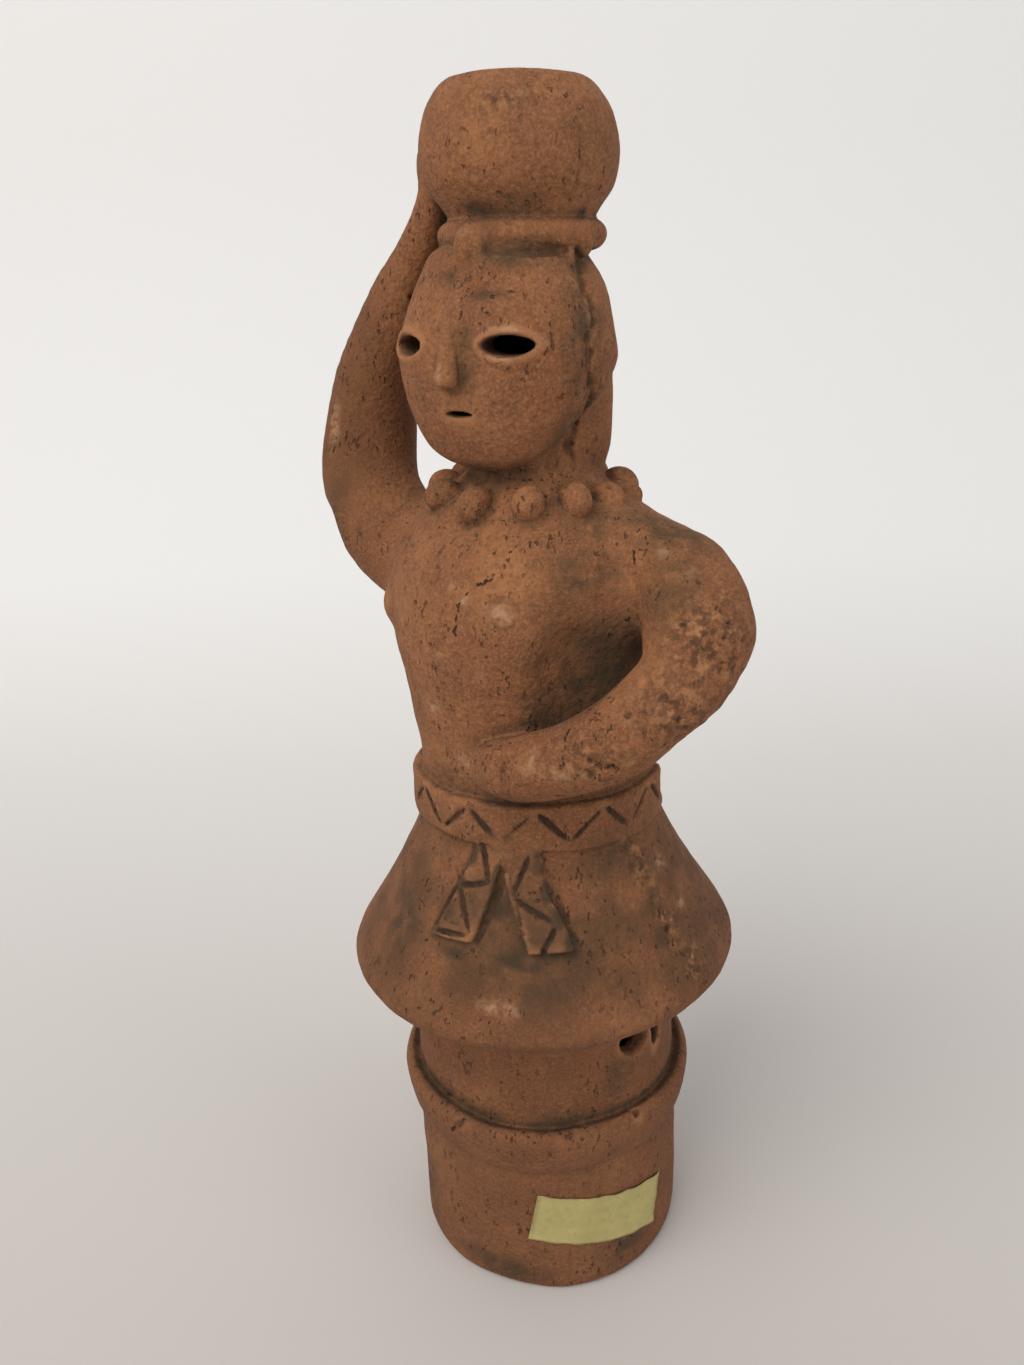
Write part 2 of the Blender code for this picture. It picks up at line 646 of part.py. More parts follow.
def jar_hollow(collection):
    """The space inside the jar, open at the mouth."""
    deep = JAR_WALL
    bulge = JAR_RADIUS - JAR_WALL
    outline = [
        (0.0, TOP_LEVEL + OVERRUN),
        (JAR_MOUTH_RADIUS + 0.3 * MM, TOP_LEVEL + OVERRUN),
        (JAR_MOUTH_RADIUS, TOP_LEVEL - 0.10 * JAR_HEIGHT),
        (0.92 * bulge, JAR_LEVEL + 0.76 * JAR_HEIGHT),
        (bulge, JAR_LEVEL + 0.54 * JAR_HEIGHT),
        (0.90 * bulge, JAR_LEVEL + 0.34 * JAR_HEIGHT),
        (0.62 * bulge, JAR_LEVEL + 1.12 * deep),
        (0.0, JAR_LEVEL + deep),
    ]
    return turned("jar_hollow", outline, HOLLOW_STEPS, collection)


def leaf_cut(name, centre, width, height, turn, collection):
    """A pointed oval cut through the wall of the face, along its own normal."""
    body = bmesh.new()
    bmesh.ops.create_cone(
        body, cap_ends=True, segments=16, radius1=1.0, radius2=1.0, depth=3.4 * SKULL_WALL,
    )
    for vertex in body.verts:
        x, y, z = vertex.co
        vertex.co = (x * width / 2, z, -y * abs(y) ** 0.4 * height / 2)
    bmesh.ops.recalc_face_normals(body, faces=body.faces)
    place = Matrix.Translation(centre) @ Matrix.Rotation(math.radians(turn), 4, "Z")
    bmesh.ops.transform(body, matrix=place, verts=body.verts)
    mesh = bpy.data.meshes.new(name)
    body.to_mesh(mesh)
    body.free()
    return add_object(name, mesh, collection)


def openings(collection):
    """Pierced eyes and mouth, and the round holes through the sides of the drum."""
    eye_level, mouth_level = 87.0, 75.4
    found = []
    for side in (-1, 1):
        centre = on_face(side * EYE_OFFSET / UNIT, eye_level)
        found.append(
            leaf_cut(f"eye_{side}", centre, EYE_WIDTH, EYE_HEIGHT, FACE_TURN + side * 20, collection)
        )
    centre = on_face(0.7, mouth_level)
    found.append(leaf_cut("mouth", centre, MOUTH_WIDTH, MOUTH_HEIGHT, FACE_TURN, collection))
    for number, (angle, radius) in enumerate(SIDE_HOLES):
        start = around(angle, DRUM_RADIUS - 2.2 * WALL, SIDE_HOLE_LEVEL)
        end = around(angle, DRUM_RADIUS + 1.6 * WALL, SIDE_HOLE_LEVEL)
        found.append(bar(f"side_hole_{number}", start, end, radius, collection, sides=14))
    return found


def material(name, colour, roughness):
    made = bpy.data.materials.new(name)
    made.use_nodes = True
    shader = made.node_tree.nodes["Principled BSDF"]
    shader.inputs["Base Color"].default_value = (*colour, 1.0)
    shader.inputs["Roughness"].default_value = roughness
    shader.inputs["Metallic"].default_value = 0.0
    return made


def figure(parts, added, cutters, carvers):
    """The whole fired-clay piece: every form joined, then hollowed, pierced and cut."""
    body = lower_body(parts)
    body.name = "haniwa_figure"
    blended_figure(added)
    jar(added)
    head_pad(added)
    face_relief(added)
    necklace(added)
    breasts(added)
    belt(added)
    sash(added)
    hollow(cutters)
    jar_hollow(cutters)
    openings(cutters)
    grooves(carvers)
    for name, kind, tools in (
        ("join", "UNION", added), ("carve", "DIFFERENCE", carvers), ("cut", "DIFFERENCE", cutters),
    ):
        step = body.modifiers.new(name, "BOOLEAN")
        step.operation = kind
        step.operand_type = "COLLECTION"
        step.collection = tools
        step.solver = "EXACT"
        step.use_self = True
        body = frozen(body, parts)
    body.data.materials.append(material("terracotta", (0.262, 0.107, 0.047), 0.88))
    body.data.shade_smooth()
    body.data.set_sharp_from_angle(angle=math.radians(38))
    return body


def sticker(parts):
    """A bare paper label wrapped round the drum, with its gap of paste and air behind."""
    across, down = 12, 3
    body = bmesh.new()
    bmesh.ops.create_grid(body, x_segments=across, y_segments=down, size=0.5)
    radius = DRUM_RADIUS + STICKER_GAP
    tilt = Matrix.Rotation(math.radians(STICKER_TILT), 2)
    for vertex in body.verts:
        run = tilt @ Vector((vertex.co.x * STICKER_ARC, vertex.co.y * STICKER_HEIGHT))
        angle = STICKER_ANGLE + math.degrees(run.x / radius)
        vertex.co = around(angle, radius, STICKER_LEVEL + run.y)
    mesh = bpy.data.meshes.new("paper_sticker")
    body.to_mesh(mesh)
    body.free()
    made = add_object("paper_sticker", mesh, parts)
    if mesh.polygons[0].normal.dot(mesh.polygons[0].center) < 0:
        mesh.flip_normals()
    thick = made.modifiers.new("thick", "SOLIDIFY")
    thick.thickness = STICKER_THICKNESS
    thick.offset = 1.0
    made.data.materials.append(material("paper", (0.423, 0.347, 0.130), 0.62))
    return made


def main():
    for leftover in list(bpy.data.objects):
        bpy.data.objects.remove(leftover)
    parts = bpy.data.collections.new("haniwa")
    added = bpy.data.collections.new("forms to join")
    cutters = bpy.data.collections.new("forms to cut")
    carvers = bpy.data.collections.new("strokes to carve")
    for collection in (parts, added, cutters, carvers):
        bpy.context.scene.collection.children.link(collection)
    figure(parts, added, cutters, carvers)
    for guide in (*added.objects, *cutters.objects, *carvers.objects):
        guide.hide_render = True
        guide.display_type = "WIRE"
    sticker(parts)


main()
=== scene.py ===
"""Looks of the souvenir haniwa: a terracotta woman who steadies a jar on her head.

The clay is worked in a block of points half a millimetre apart, where every form is pressed on
or cut away as it would be by hand, and then taken out as one skin. Lengths here are in
millimetres until that skin is made; she faces -Y and stands on the floor at Z 0.
"""
import math
import bmesh
import bpy
import numpy as np
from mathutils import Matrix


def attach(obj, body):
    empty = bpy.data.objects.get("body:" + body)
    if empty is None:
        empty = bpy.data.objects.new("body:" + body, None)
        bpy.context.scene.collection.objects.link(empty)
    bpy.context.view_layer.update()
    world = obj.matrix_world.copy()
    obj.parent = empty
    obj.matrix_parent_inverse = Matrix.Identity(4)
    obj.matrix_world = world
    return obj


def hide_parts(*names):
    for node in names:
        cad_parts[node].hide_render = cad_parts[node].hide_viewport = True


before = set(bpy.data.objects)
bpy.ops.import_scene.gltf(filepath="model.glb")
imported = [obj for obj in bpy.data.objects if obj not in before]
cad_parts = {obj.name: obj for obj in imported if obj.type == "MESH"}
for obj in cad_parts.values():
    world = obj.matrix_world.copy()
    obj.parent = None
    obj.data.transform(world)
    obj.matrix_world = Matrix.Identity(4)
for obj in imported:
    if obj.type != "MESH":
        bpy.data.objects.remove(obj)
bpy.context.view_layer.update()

import openvdb
from mathutils import Matrix, Vector

# Drum base
# The real base is a thick-walled clay cylinder pressed in a two-part mould. A heavy rib runs round
# its upper half, rounded above and fading into the wall below, and the foot edge is worn.
STEP = 0.5
MM = 0.001
LOW = (-53.0, -44.0, -2.5)
POINTS = (213, 177, 491)
clay = np.full(POINTS, 9.0, np.float32)

DRUM_RADIUS = 29.3
DRUM_HEIGHT = 63.0
drum_side = [
    (28.6, 64.0), (28.6, 44.0), (29.4, 44.2), (30.6, 44.75), (31.6, 44.1), (32.1, 42.24),
    (31.54, 38.64), (30.75, 35.4), (30.0, 33.5), (29.2, 32.4), (29.3, 28.0), (29.3, 2.4), (28.95, 0.8),
    (28.3, 0.0),
]


def block(low, high):
    """The part of the block between two corners: where it is, and the x, y and z of its points."""
    cut = []
    axes = []
    for a, b, start, count in zip(low, high, LOW, POINTS):
        first = max(0, int((a - start) / STEP))
        last = min(count, int((b - start) / STEP) + 2)
        cut.append(slice(first, last))
        axes.append(start + STEP * np.arange(first, last, dtype=np.float32))
    x, y, z = axes
    return tuple(cut), x[:, None, None], y[None, :, None], z[None, None, :]


def press_on(cut, form, soft):
    """Join a form to the clay with a fillet about this wide."""
    here = clay[cut]
    share = np.clip(0.5 + 0.5 * (here - form) / soft, 0.0, 1.0)
    clay[cut] = here + (form - here) * share - soft * share * (1.0 - share)


def cut_away(cut, form, soft):
    """Cut a form out of the clay and round the edge it leaves."""
    here = clay[cut]
    share = np.clip(0.5 - 0.5 * (here + form) / soft, 0.0, 1.0)
    clay[cut] = here - (form + here) * share + soft * share * (1.0 - share)


def curve_through(points, steps):
    """Points along a Catmull-Rom curve through the given ones, steps for each span."""
    points = np.array(points, float)
    ends = np.vstack((points[:1], points, points[-1:]))
    t = (np.arange(steps) / steps)[:, None]
    found = []
    for p, q, r, s in zip(ends, ends[1:], ends[2:], ends[3:]):
        bend = (2 * p - 5 * q + 4 * r - s) * t**2 + (3 * q - p - 3 * r + s) * t**3
        found.append(0.5 * (2 * q + (r - p) * t + bend))
    return np.vstack((*found, points[-1:]))


def turned(outline):
    """Reads the distance to a form turned from (radius, height) points that run axis to axis."""
    fine = 0.25
    line = np.array(outline, float)
    r = np.arange(0.0, line[:, 0].max() + 12.0, fine)[:, None]
    z = np.arange(line[:, 1].min() - 12.0, line[:, 1].max() + 12.0, fine)[None, :]
    near = np.full((r.size, z.size), 99.0)
    inside = np.zeros(near.shape, bool)
    for (r1, z1), (r2, z2) in zip(line, line[1:]):
        dr, dz = r2 - r1, z2 - z1
        if dr == 0 and dz == 0:
            continue
        t = np.clip(((r - r1) * dr + (z - z1) * dz) / (dr * dr + dz * dz), 0.0, 1.0)
        near = np.minimum(near, np.hypot(r - r1 - t * dr, z - z1 - t * dz))
        if dz:
            inside ^= ((z1 > z) != (z2 > z)) & (r < r1 + (z - z1) * dr / dz)
    near = np.where(inside, -near, near).astype(np.float32)

    def read(radius, height):
        u = np.clip(radius / fine, 0, near.shape[0] - 1.01)
        v = np.clip((height - z[0, 0]) / fine, 0, near.shape[1] - 1.01)
        i, j = u.astype(np.int32), v.astype(np.int32)
        u, v = u - i, v - j
        low = near[i, j] + (near[i + 1, j] - near[i, j]) * u
        high = near[i, j + 1] + (near[i + 1, j + 1] - near[i, j + 1]) * u
        return low + (high - low) * v

    return read


drum = turned([(0.0, 64.0), *drum_side, (0.0, 0.0)])
cut, x, y, z = block((-36, -36, -2), (36, 36, 68))
turn = np.arctan2(x, -y)
worn = 0.25 * np.sin(3 * turn + 1.0) + 0.2 * np.sin(7 * turn)
foot = np.clip(1.0 - z / 6.0, 0.0, 1.0)
radius = np.hypot(x, y) + 0.15 * np.sin(5 * turn + 0.06 * z)
rib_drift = (0.35 * np.sin(2 * turn + 0.6) + 0.2 * np.sin(5 * turn)) * np.clip((z - 28) / 10, 0, 1)
press_on(cut, drum(radius + foot * 0.3 * worn, z - 0.5 * foot * worn.clip(0) + rib_drift), 0.5)

# Skirt
# The flared skirt is the upper part of the same moulding. It hangs out over the drum like a bell
# and leans a little, and its rim is a thick rounded roll.
WAIST_LEVEL, WAIST_RADIUS = 111.0, 23.9
HEM_RISE = 8.6
SKIRT_LEAN = math.tan(math.radians(1.4))
skirt_side = curve_through(
    [(WAIST_RADIUS, WAIST_LEVEL), (24.6, 105.6), (26.3, 100.8), (29.7, 93.7), (34.4, 85.5), (38.5, 79.0),
     (40.4, 75.6), (40.9, 73.5), (39.9, 71.75), (38.6, 71.6)], 5
)
skirt = turned([(0.0, WAIST_LEVEL), *skirt_side, (34.1, 68.3), (28.6, 62.0), (0.0, 62.0)])
cut, x, y, z = block((-46, -44, 58), (46, 44, 116))
share = np.clip(np.minimum((z - DRUM_HEIGHT) / HEM_RISE, (WAIST_LEVEL - z) / HEM_RISE), 0.0, 1.0)
high_side = math.radians(126)
lift = SKIRT_LEAN * (x * math.sin(high_side) - y * math.cos(high_side))
turn = np.arctan2(x, -y)
drift = 0.2 * np.sin(3 * turn + 2.0) + 0.12 * np.sin(8 * turn)
press_on(cut, skirt(np.hypot(x, y) + 0.5 * drift, z - lift * share + drift), 1.2)
bare_skirt = clay.copy()

# Trunk
# The trunk is a plain bell of clay, full at the chest and shallower front to back at the
# shoulders, with a short neck. It was drawn up from the waist while the clay was soft.
trunk_side = [
    (10.4, 187.0), (10.6, 180.0), (11.2, 175.5), (14.2, 172.6), (18.6, 169.4), (23.0, 165.0),
    (26.8, 159.0), (28.2, 152.0), (27.8, 145.0), (26.6, 138.0), (25.5, 131.0), (24.5, 123.0),
    (23.9, 116.0), (23.7, 111.0), (23.2, 105.0),
]
trunk = turned([(0.0, 187.0), *curve_through(trunk_side, 3), (0.0, 105.0)])
cut, x, y, z = block((-38, -38, 98), (38, 38, 194))
share = np.clip((z - 141.0) / 26.0, 0.0, 1.0) * np.clip((177.0 - z) / 4.0, 0.0, 1.0)
press_on(cut, trunk(np.hypot(x, y / (1.0 - 0.11 * share)), z), 2.0)


def pellet(centre, radii, turn, x, y, z):
    """Distance to an egg of clay with its own radius on each axis, turned about Z in degrees."""
    c, s = math.cos(math.radians(turn)), math.sin(math.radians(turn))
    u = ((x - centre[0]) * c + (y - centre[1]) * s) / radii[0]
    v = ((y - centre[1]) * c - (x - centre[0]) * s) / radii[1]
    w = (z - centre[2]) / radii[2]
    return (np.sqrt(u * u + v * v + w * w) - 1.0) * min(radii)


ARMPIT = ((25.0, -20.2, 140.5), (7.5, 8.5, 12.5), 45)
cut_away(cut, pellet(*ARMPIT, x, y, z).astype(np.float32), 7.0)


# Arms
# Each arm is a tapered roll of clay with a plain mitten hand. Her right arm rises past her head to
# the jar, and her left bends to her hip, where the hand is flattened against the belly.
LEFT_ARM = (
    (5, 2.5, 158, 8.5), (17, 2.5, 159.2, 9.4), (27, 1.4, 158.2, 9.8), (35.2, -1.8, 154.4, 9.8),
    (39.6, -5.8, 148.4, 9.5), (39.7, -10.2, 142.2, 8.7), (35.4, -15.6, 136.2, 7.8),
    (29.2, -20.0, 131.3, 7.0), (22.6, -22.8, 127.7, 6.5), (15.6, -24.6, 125.2, 6.2),
    (10.2, -24.9, 124.2, 5.4), (6.6, -24.6, 124.0, 3.6), (5.0, -24.2, 124.0, 1.4),
)
RIGHT_ARM = (
    (-5, -1.0, 153, 9.0), (-17, -3.0, 154.4, 10.6), (-27, -5.0, 157.4, 10.6),
    (-34.8, -4.4, 163.2, 10.0), (-39.8, -2.0, 170.8, 9.9), (-40.6, 0.4, 180, 9.5),
    (-38.8, 0.8, 188.8, 8.5), (-34.8, 0.8, 197.7, 7.2), (-28.8, 0.4, 207.1, 5.7),
    (-22.2, -0.4, 215.8, 4.2), (-18.7, -0.6, 223.4, 3.4), (-18.4, -0.6, 229, 3.5),
    (-18.3, -0.6, 231.6, 1.6),
)


def roll(path, x, y, z):
    """Distance to a roll of clay along (x, y, z, radius) points."""
    near = None
    for a, b in zip(path, path[1:]):
        run = b[:3] - a[:3]
        t = ((x - a[0]) * run[0] + (y - a[1]) * run[1] + (z - a[2]) * run[2]) / (run @ run)
        t = np.clip(t, 0.0, 1.0)
        away = (x - a[0] - t * run[0]) ** 2 + (y - a[1] - t * run[1]) ** 2
        away = np.sqrt(away + (z - a[2] - t * run[2]) ** 2) - (a[3] + t * (b[3] - a[3]))
        near = away if near is None else np.minimum(near, away)
    return near


for path, elbow, low, high in (
    (LEFT_ARM, 4, (-4, -38, 112), (53, 20, 176)), (RIGHT_ARM, 3, (-53, -22, 138), (6, 20, 240)),
):
    cut, x, y, z = block(low, high)
    line = curve_through(path, 3).astype(np.float32)
    upper = roll(line[:3 * elbow + 1], x, y, z)
    lower = roll(line[3 * elbow:], x, y, z)
    press_on(cut, upper, 5.0)
    press_on(cut, lower, 1.2)

# Head
# The head is an egg of clay with a flattened face and a jaw that rises from the chin back to the
# ears. It is hollow, and the eyes and mouth are cut right through its wall.
HEAD_LEVELS = (
    (175.4, 6.5), (176.2, 11.0), (178.0, 14.8), (181.2, 17.0), (185.8, 18.5), (190.8, 19.4),
    (196.5, 19.7), (201.5, 18.6), (206.0, 16.8), (210.0, 14.8), (213.0, 13.0), (215.0, 9.0),
)
HEAD_FRONT = 0.905
FACE_TURN = math.radians(-1)


def even(form):
    """Scale a form's values so that they come close to true distances."""
    slopes = np.gradient(form, STEP)
    steep = np.sqrt(sum(slope * slope for slope in slopes))
    return (form / np.clip(steep, 0.6, 9.0)).astype(np.float32)


levels = curve_through([(level, width) for level, width in HEAD_LEVELS], 6)
cut, x, y, z = block((-28, -32, 170), (26, 26, 222))
side = (x + 1.0) * math.cos(FACE_TURN) + (y + 3.1) * math.sin(FACE_TURN)
depth = -(x + 1.0) * math.sin(FACE_TURN) + (y + 3.1) * math.cos(FACE_TURN)
fall = 0.54 * np.clip(195.0 - levels[:, 0], 0.0, None) / 19.6
depths = np.arange(-32.0, 32.5, 0.5)
table = np.empty((depths.size, z.size))
for number, back in enumerate(depths):
    lifted = levels[:, 0] + fall * (back + HEAD_FRONT * levels[:, 1])
    row = np.interp(z[0, 0], lifted, levels[:, 0])
    table[number] = row + np.minimum(0, z[0, 0] - lifted[0]) + np.maximum(0, z[0, 0] - lifted[-1])
place = np.clip((depth[..., 0] + 32.0) / 0.5, 0, depths.size - 1.01)
first = place.astype(int)
level = table[first] + (table[first + 1] - table[first]) * (place - first)[..., None]
width = np.interp(level, levels[:, 0], levels[:, 1])
reach = np.where(depth < 0, HEAD_FRONT, 0.92)
face = (np.abs(side) ** 2.5 + np.abs(depth / reach) ** 2.5) ** 0.4 - width
face = even(face) + 0.45 * np.clip((depth + 6.0) / 8.0, 0.0, 1.0)
face = np.maximum(face, np.maximum(level - 215.0, 175.4 - level))
press_on(cut, face.astype(np.float32), 2.4)

# Hair
# A thick slab of hair hangs behind the head to the neck. It was laid on as a separate pad of clay,
# so a torn, dark-filled crease runs down each side of the face.
cut, x, y, z = block((-26, -16, 150), (26, 28, 212))
rise = np.clip((z - 190.0) / np.where(z > 190.0, 25.0, 20.5), -1.0, 1.0)
low_share = 0.5 - 0.5 * rise
wide = 16.2 - 4.2 * low_share
deep = 11.2 - 3.6 * low_share
power = np.where(rise > 0, 2.3, 6.0)
spread = np.clip(1.0 - np.abs(rise) ** power, 0.0, 1.0) ** (1.0 / power)
hair = (np.hypot((x + 0.6) / wide, (y - 4.4 - 3.6 * low_share) / deep) - spread) * deep
press_on(cut, even(hair.astype(np.float32)), 2.2)
HAIRLINE = (
    (176.0, -0.5), (179.8, -1.1), (183.8, -0.2), (188.8, -4.1), (194.4, -6.6), (198.0, -6.4),
    (201.0, -3.6), (205.0, -2.8), (211.0, -2.0), (214.0, 2.0),
)
cut, x, y, z = block((-26, -16, 174), (26, 28, 216))
edge = np.interp(z, [h for h, _ in HAIRLINE], [b for _, b in HAIRLINE])
edge = edge + 0.5 * np.sin(0.9 * z + 1.0) + 0.35 * np.sin(2.3 * z) * np.sin(0.6 * z)
edge = edge + np.where(x < 0, 1.5, 0.0)
behind = np.clip((y - edge) / 0.9 + 0.5, 0.0, 1.0)
high = np.clip((214.0 - z) / 5.0, 0.0, 1.0) * np.clip((z - 175.0) / 3.0, 0.0, 1.0)
torn = 0.38 + 0.45 * np.abs(np.sin(0.37 * z + 0.8) * np.sin(0.83 * z))
aside = np.clip((np.abs(x + 1.0) - 6.0) / 3.0, 0.0, 1.0)
clay[cut] -= (0.45 * behind * high * aside).astype(np.float32)
crease = np.hypot(y - edge + 0.5, clay[cut] + 0.1) - torn * high * aside
cut_away(cut, crease.astype(np.float32), 0.5)

# Jar
# A squat round jar, thrown or pinched separately and luted on the ring. Its mouth is cut flat, and
# the rim is a little chipped.
TOP_LEVEL = 240.0
jar_side = curve_through(
    [(11.4, TOP_LEVEL), (12.9, 239.3), (14.7, 237.3), (16.3, 234.4), (17.4, 229.2), (16.5, 223.8),
     (13.9, 219.8), (12.2, 216.8)], 5
)
jar = turned([(0.0, TOP_LEVEL), *jar_side, (12.0, 213.0), (0.0, 213.0)])
cut, x, y, z = block((-24, -24, 208), (24, 24, 243))
turn = np.arctan2(x, -y)
press_on(cut, jar(np.hypot(x, y) + 0.12 * np.sin(3 * turn), z + 0.022 * x + 0.016 * y), 0.8)

# Ring on her head
# A rolled cloth ring carries the jar. Its flat end hangs over the brow, its seam makes a lump at
# her left side, and a loose strand hangs below that.
cut, x, y, z = block((-22, -22, 203), (22, 22, 222))
ring = np.hypot((np.hypot(x, y) - 11.9) / 1.15, z - 215.4 + 0.02 * x) - 2.75
press_on(cut, ring, 0.45)
for centre, radii, turn in (
    ((0.2, -15.0, 212.6), (3.3, 2.3, 5.0), -2), ((13.6, -1.0, 214.4), (1.9, 1.9, 3.3), 80),
    ((12.9, -4.2, 210.8), (1.0, 1.0, 2.8), 72),
):
    press_on(cut, pellet(centre, radii, turn, x, y, z), 0.3)

# Face
# Nose, brows and the rims of the eyes are pushed up by hand from the same clay. The slits of the
# eyes and the mouth were cut while it was leather hard, which leaves a raised burr round them.
NOSE = ((-0.9, -17.9, 205.4, 1.3), (-0.9, -20.3, 199.0, 1.7), (-0.8, -21.9, 192.8, 2.4))
BROWS = (
    ((-0.4, -17.6, 203.6, 0.9), (4.6, -17.6, 204.2, 1.2), (9.4, -16.2, 203.8, 1.2),
     (13.4, -13.6, 201.8, 0.7)),
    ((-1.6, -17.6, 203.6, 0.9), (-6.6, -17.5, 204.2, 1.0), (-11.0, -16.0, 203.6, 0.9),
     (-15.0, -13.4, 201.6, 0.6)),
)
EYES = (((9.3, -17.2, 197.9), 19), ((-11.5, -16.7, 197.9), -21))
EYE_WIDTH, EYE_HEIGHT = 9.6, 3.5
MOUTH = (-0.3, -19.6, 186.6)

cut, x, y, z = block((-20, -30, 182), (20, -8, 210))
nose = np.maximum(roll(np.array(NOSE, np.float32), x, y, z), 191.3 - z)
press_on(cut, nose, 0.35)
for brow in BROWS:
    press_on(cut, roll(np.array(brow, np.float32), x, y, z), 1.0)


def slit(centre, width, height, turn, x, y, z):
    """Distance to a pointed oval slit that faces this way, and how far in or out a point is."""
    c, s = math.cos(math.radians(turn)), math.sin(math.radians(turn))
    along = (x - centre[0]) * c + (y - centre[1]) * s
    inward = (y - centre[1]) * c - (x - centre[0]) * s
    share = np.clip(1.0 - (2 * along / width) ** 2, 0.0, 1.0)
    up = np.abs(z - centre[2]) - height / 2 * share**0.62
    past = np.clip(np.abs(along) - width / 2, 0.0, None)
    return np.hypot(np.maximum(up, 0.0), past) + np.minimum(up, 0.0) * (past == 0), inward


for centre, turn in EYES:
    form, inward = slit(centre, EYE_WIDTH, EYE_HEIGHT, turn, x, y, z)
    burr = np.hypot(form - 0.65, clay[cut] + 0.1) - 0.62
    press_on(cut, np.where(inward < 4.0, burr, 9.0).astype(np.float32), 0.4)
    cut_away(cut, np.maximum(form, np.abs(inward) - 7.0).astype(np.float32), 0.35)
form, inward = slit(MOUTH, 6.2, 1.05, 0, x, y, z)
cut_away(cut, np.maximum(form, np.abs(inward) - 7.0).astype(np.float32), 0.3)

# Necklace
# Twelve pellets of clay are pressed on round the foot of the neck, each rolled by hand, so that
# no two are quite alike. The nodes below lay one pellet on each marked point.
BEAD_ANGLES = (-124, -95, -67, -39, 0, 35, 64, 89, 113, 140, 168, 203)
BEAD_RADIUS = 3.15
NECKLACE_RADIUS, NECKLACE_LEVEL = 16.6, 171.4
NECKLACE_DROP_SIDE = math.radians(126)


def around(angle, radius, level):
    """A point at this angle from the front, positive towards her left."""
    side = math.radians(angle)
    return (radius * math.sin(side), -radius * math.cos(side), level)


def put(tree, kind, inputs=None, **settings):
    """Add a node and link or set its inputs; a node given as an input stands for its first output."""
    node = tree.nodes.new(kind)
    for name, value in settings.items():
        setattr(node, name, value)
    for name, value in (inputs or {}).items():
        if isinstance(value, bpy.types.Node):
            value = value.outputs[0]
        if isinstance(value, bpy.types.NodeSocket):
            tree.links.new(value, node.inputs[name])
        else:
            node.inputs[name].default_value = value
    return node


def calc(tree, operation, a, b, **settings):
    """One sum of two numbers."""
    return put(tree, "ShaderNodeMath", {0: a, 1: b}, operation=operation, **settings)


def vector_calc(tree, operation, a, b):
    """One sum of two vectors, or a vector scaled by a number."""
    second = "Scale" if operation == "SCALE" else 1
    return put(tree, "ShaderNodeVectorMath", {0: a, second: b}, operation=operation)


def marked(tree, name):
    """The number that each point carries under this name."""
    node = put(tree, "GeometryNodeInputNamedAttribute", {"Name": name}, data_type="FLOAT")
    return node.outputs["Attribute"]


def start_tree(name, kind, inputs, output, output_kind):
    """A new node group with named inputs and one output; returns it, what is given and what is made."""
    tree = bpy.data.node_groups.new(name, kind)
    for label, value in inputs.items():
        socket = value if isinstance(value, str) else {int: "Int", float: "Float"}[type(value)]
        made = tree.interface.new_socket(label, in_out="INPUT", socket_type="NodeSocket" + socket)
        if not isinstance(value, str):
            made.default_value = value
    tree.interface.new_socket(output, in_out="OUTPUT", socket_type="NodeSocket" + output_kind)
    return tree, tree.nodes.new("NodeGroupInput").outputs, tree.nodes.new("NodeGroupOutput").inputs[0]


def end_geometry(tree, geometry, made):
    """Close a geometry tree: copies made real, passed through an empty Set Material node, and the result
    given out.
    """
    real = put(tree, "GeometryNodeRealizeInstances", {0: geometry})
    finish = put(tree, "GeometryNodeSetMaterial", {"Geometry": real})
    tree.links.new(finish.outputs[0], made)


def set_inputs(modifier, tree, values):
    """Give a nodes modifier its tree and the values of the tree's named inputs."""
    modifier.node_group = tree
    sockets = {item.name: item.identifier for item in tree.interface.items_tree if item.in_out == "INPUT"}
    for label, value in values.items():
        modifier[sockets[label]] = value


def plain_mesh(made):
    """What an object's modifiers make, as a mesh of its own; the object goes."""
    graph = bpy.context.evaluated_depsgraph_get()
    mesh = bpy.data.meshes.new_from_object(made.evaluated_get(graph))
    bpy.data.objects.remove(made)
    return mesh


def in_scene(name, data):
    """A new object in the scene for a mesh, light or camera."""
    made = bpy.data.objects.new(name, data)
    bpy.context.scene.collection.objects.link(made)
    return made


def grown(name, points, edges, marks, tree, values):
    """Run a geometry tree on marked points and return what it makes as a plain mesh."""
    mesh = bpy.data.meshes.new(name)
    mesh.from_pydata(points, edges, [])
    for label, numbers in marks.items():
        mesh.attributes.new(label, "FLOAT", "POINT").data.foreach_set("value", numbers)
    made = in_scene(name, mesh)
    set_inputs(made.modifiers.new(name, "NODES"), tree, values)
    return plain_mesh(made)


def as_form(mesh, low, high):
    """Distances to a closed mesh in a part of the block, true near its skin."""
    mesh.calc_loop_triangles()
    points = np.empty(len(mesh.vertices) * 3, np.float32)
    mesh.vertices.foreach_get("co", points)
    faces = np.empty(len(mesh.loop_triangles) * 3, np.int32)
    mesh.loop_triangles.foreach_get("vertices", faces)
    cut, x, y, z = block(low, high)
    corner = np.array((x[0, 0, 0], y[0, 0, 0], z[0, 0, 0]), np.float32)
    grid = openvdb.FloatGrid.createLevelSetFromPolygons(
        (points.reshape(-1, 3) - corner).astype(np.float32), triangles=faces.reshape(-1, 3).astype(np.uint32),
        transform=openvdb.createLinearTransform(voxelSize=STEP), halfWidth=5.0,
    )
    form = np.empty(clay[cut].shape, np.float32)
    grid.copyToArray(form)
    return cut, form


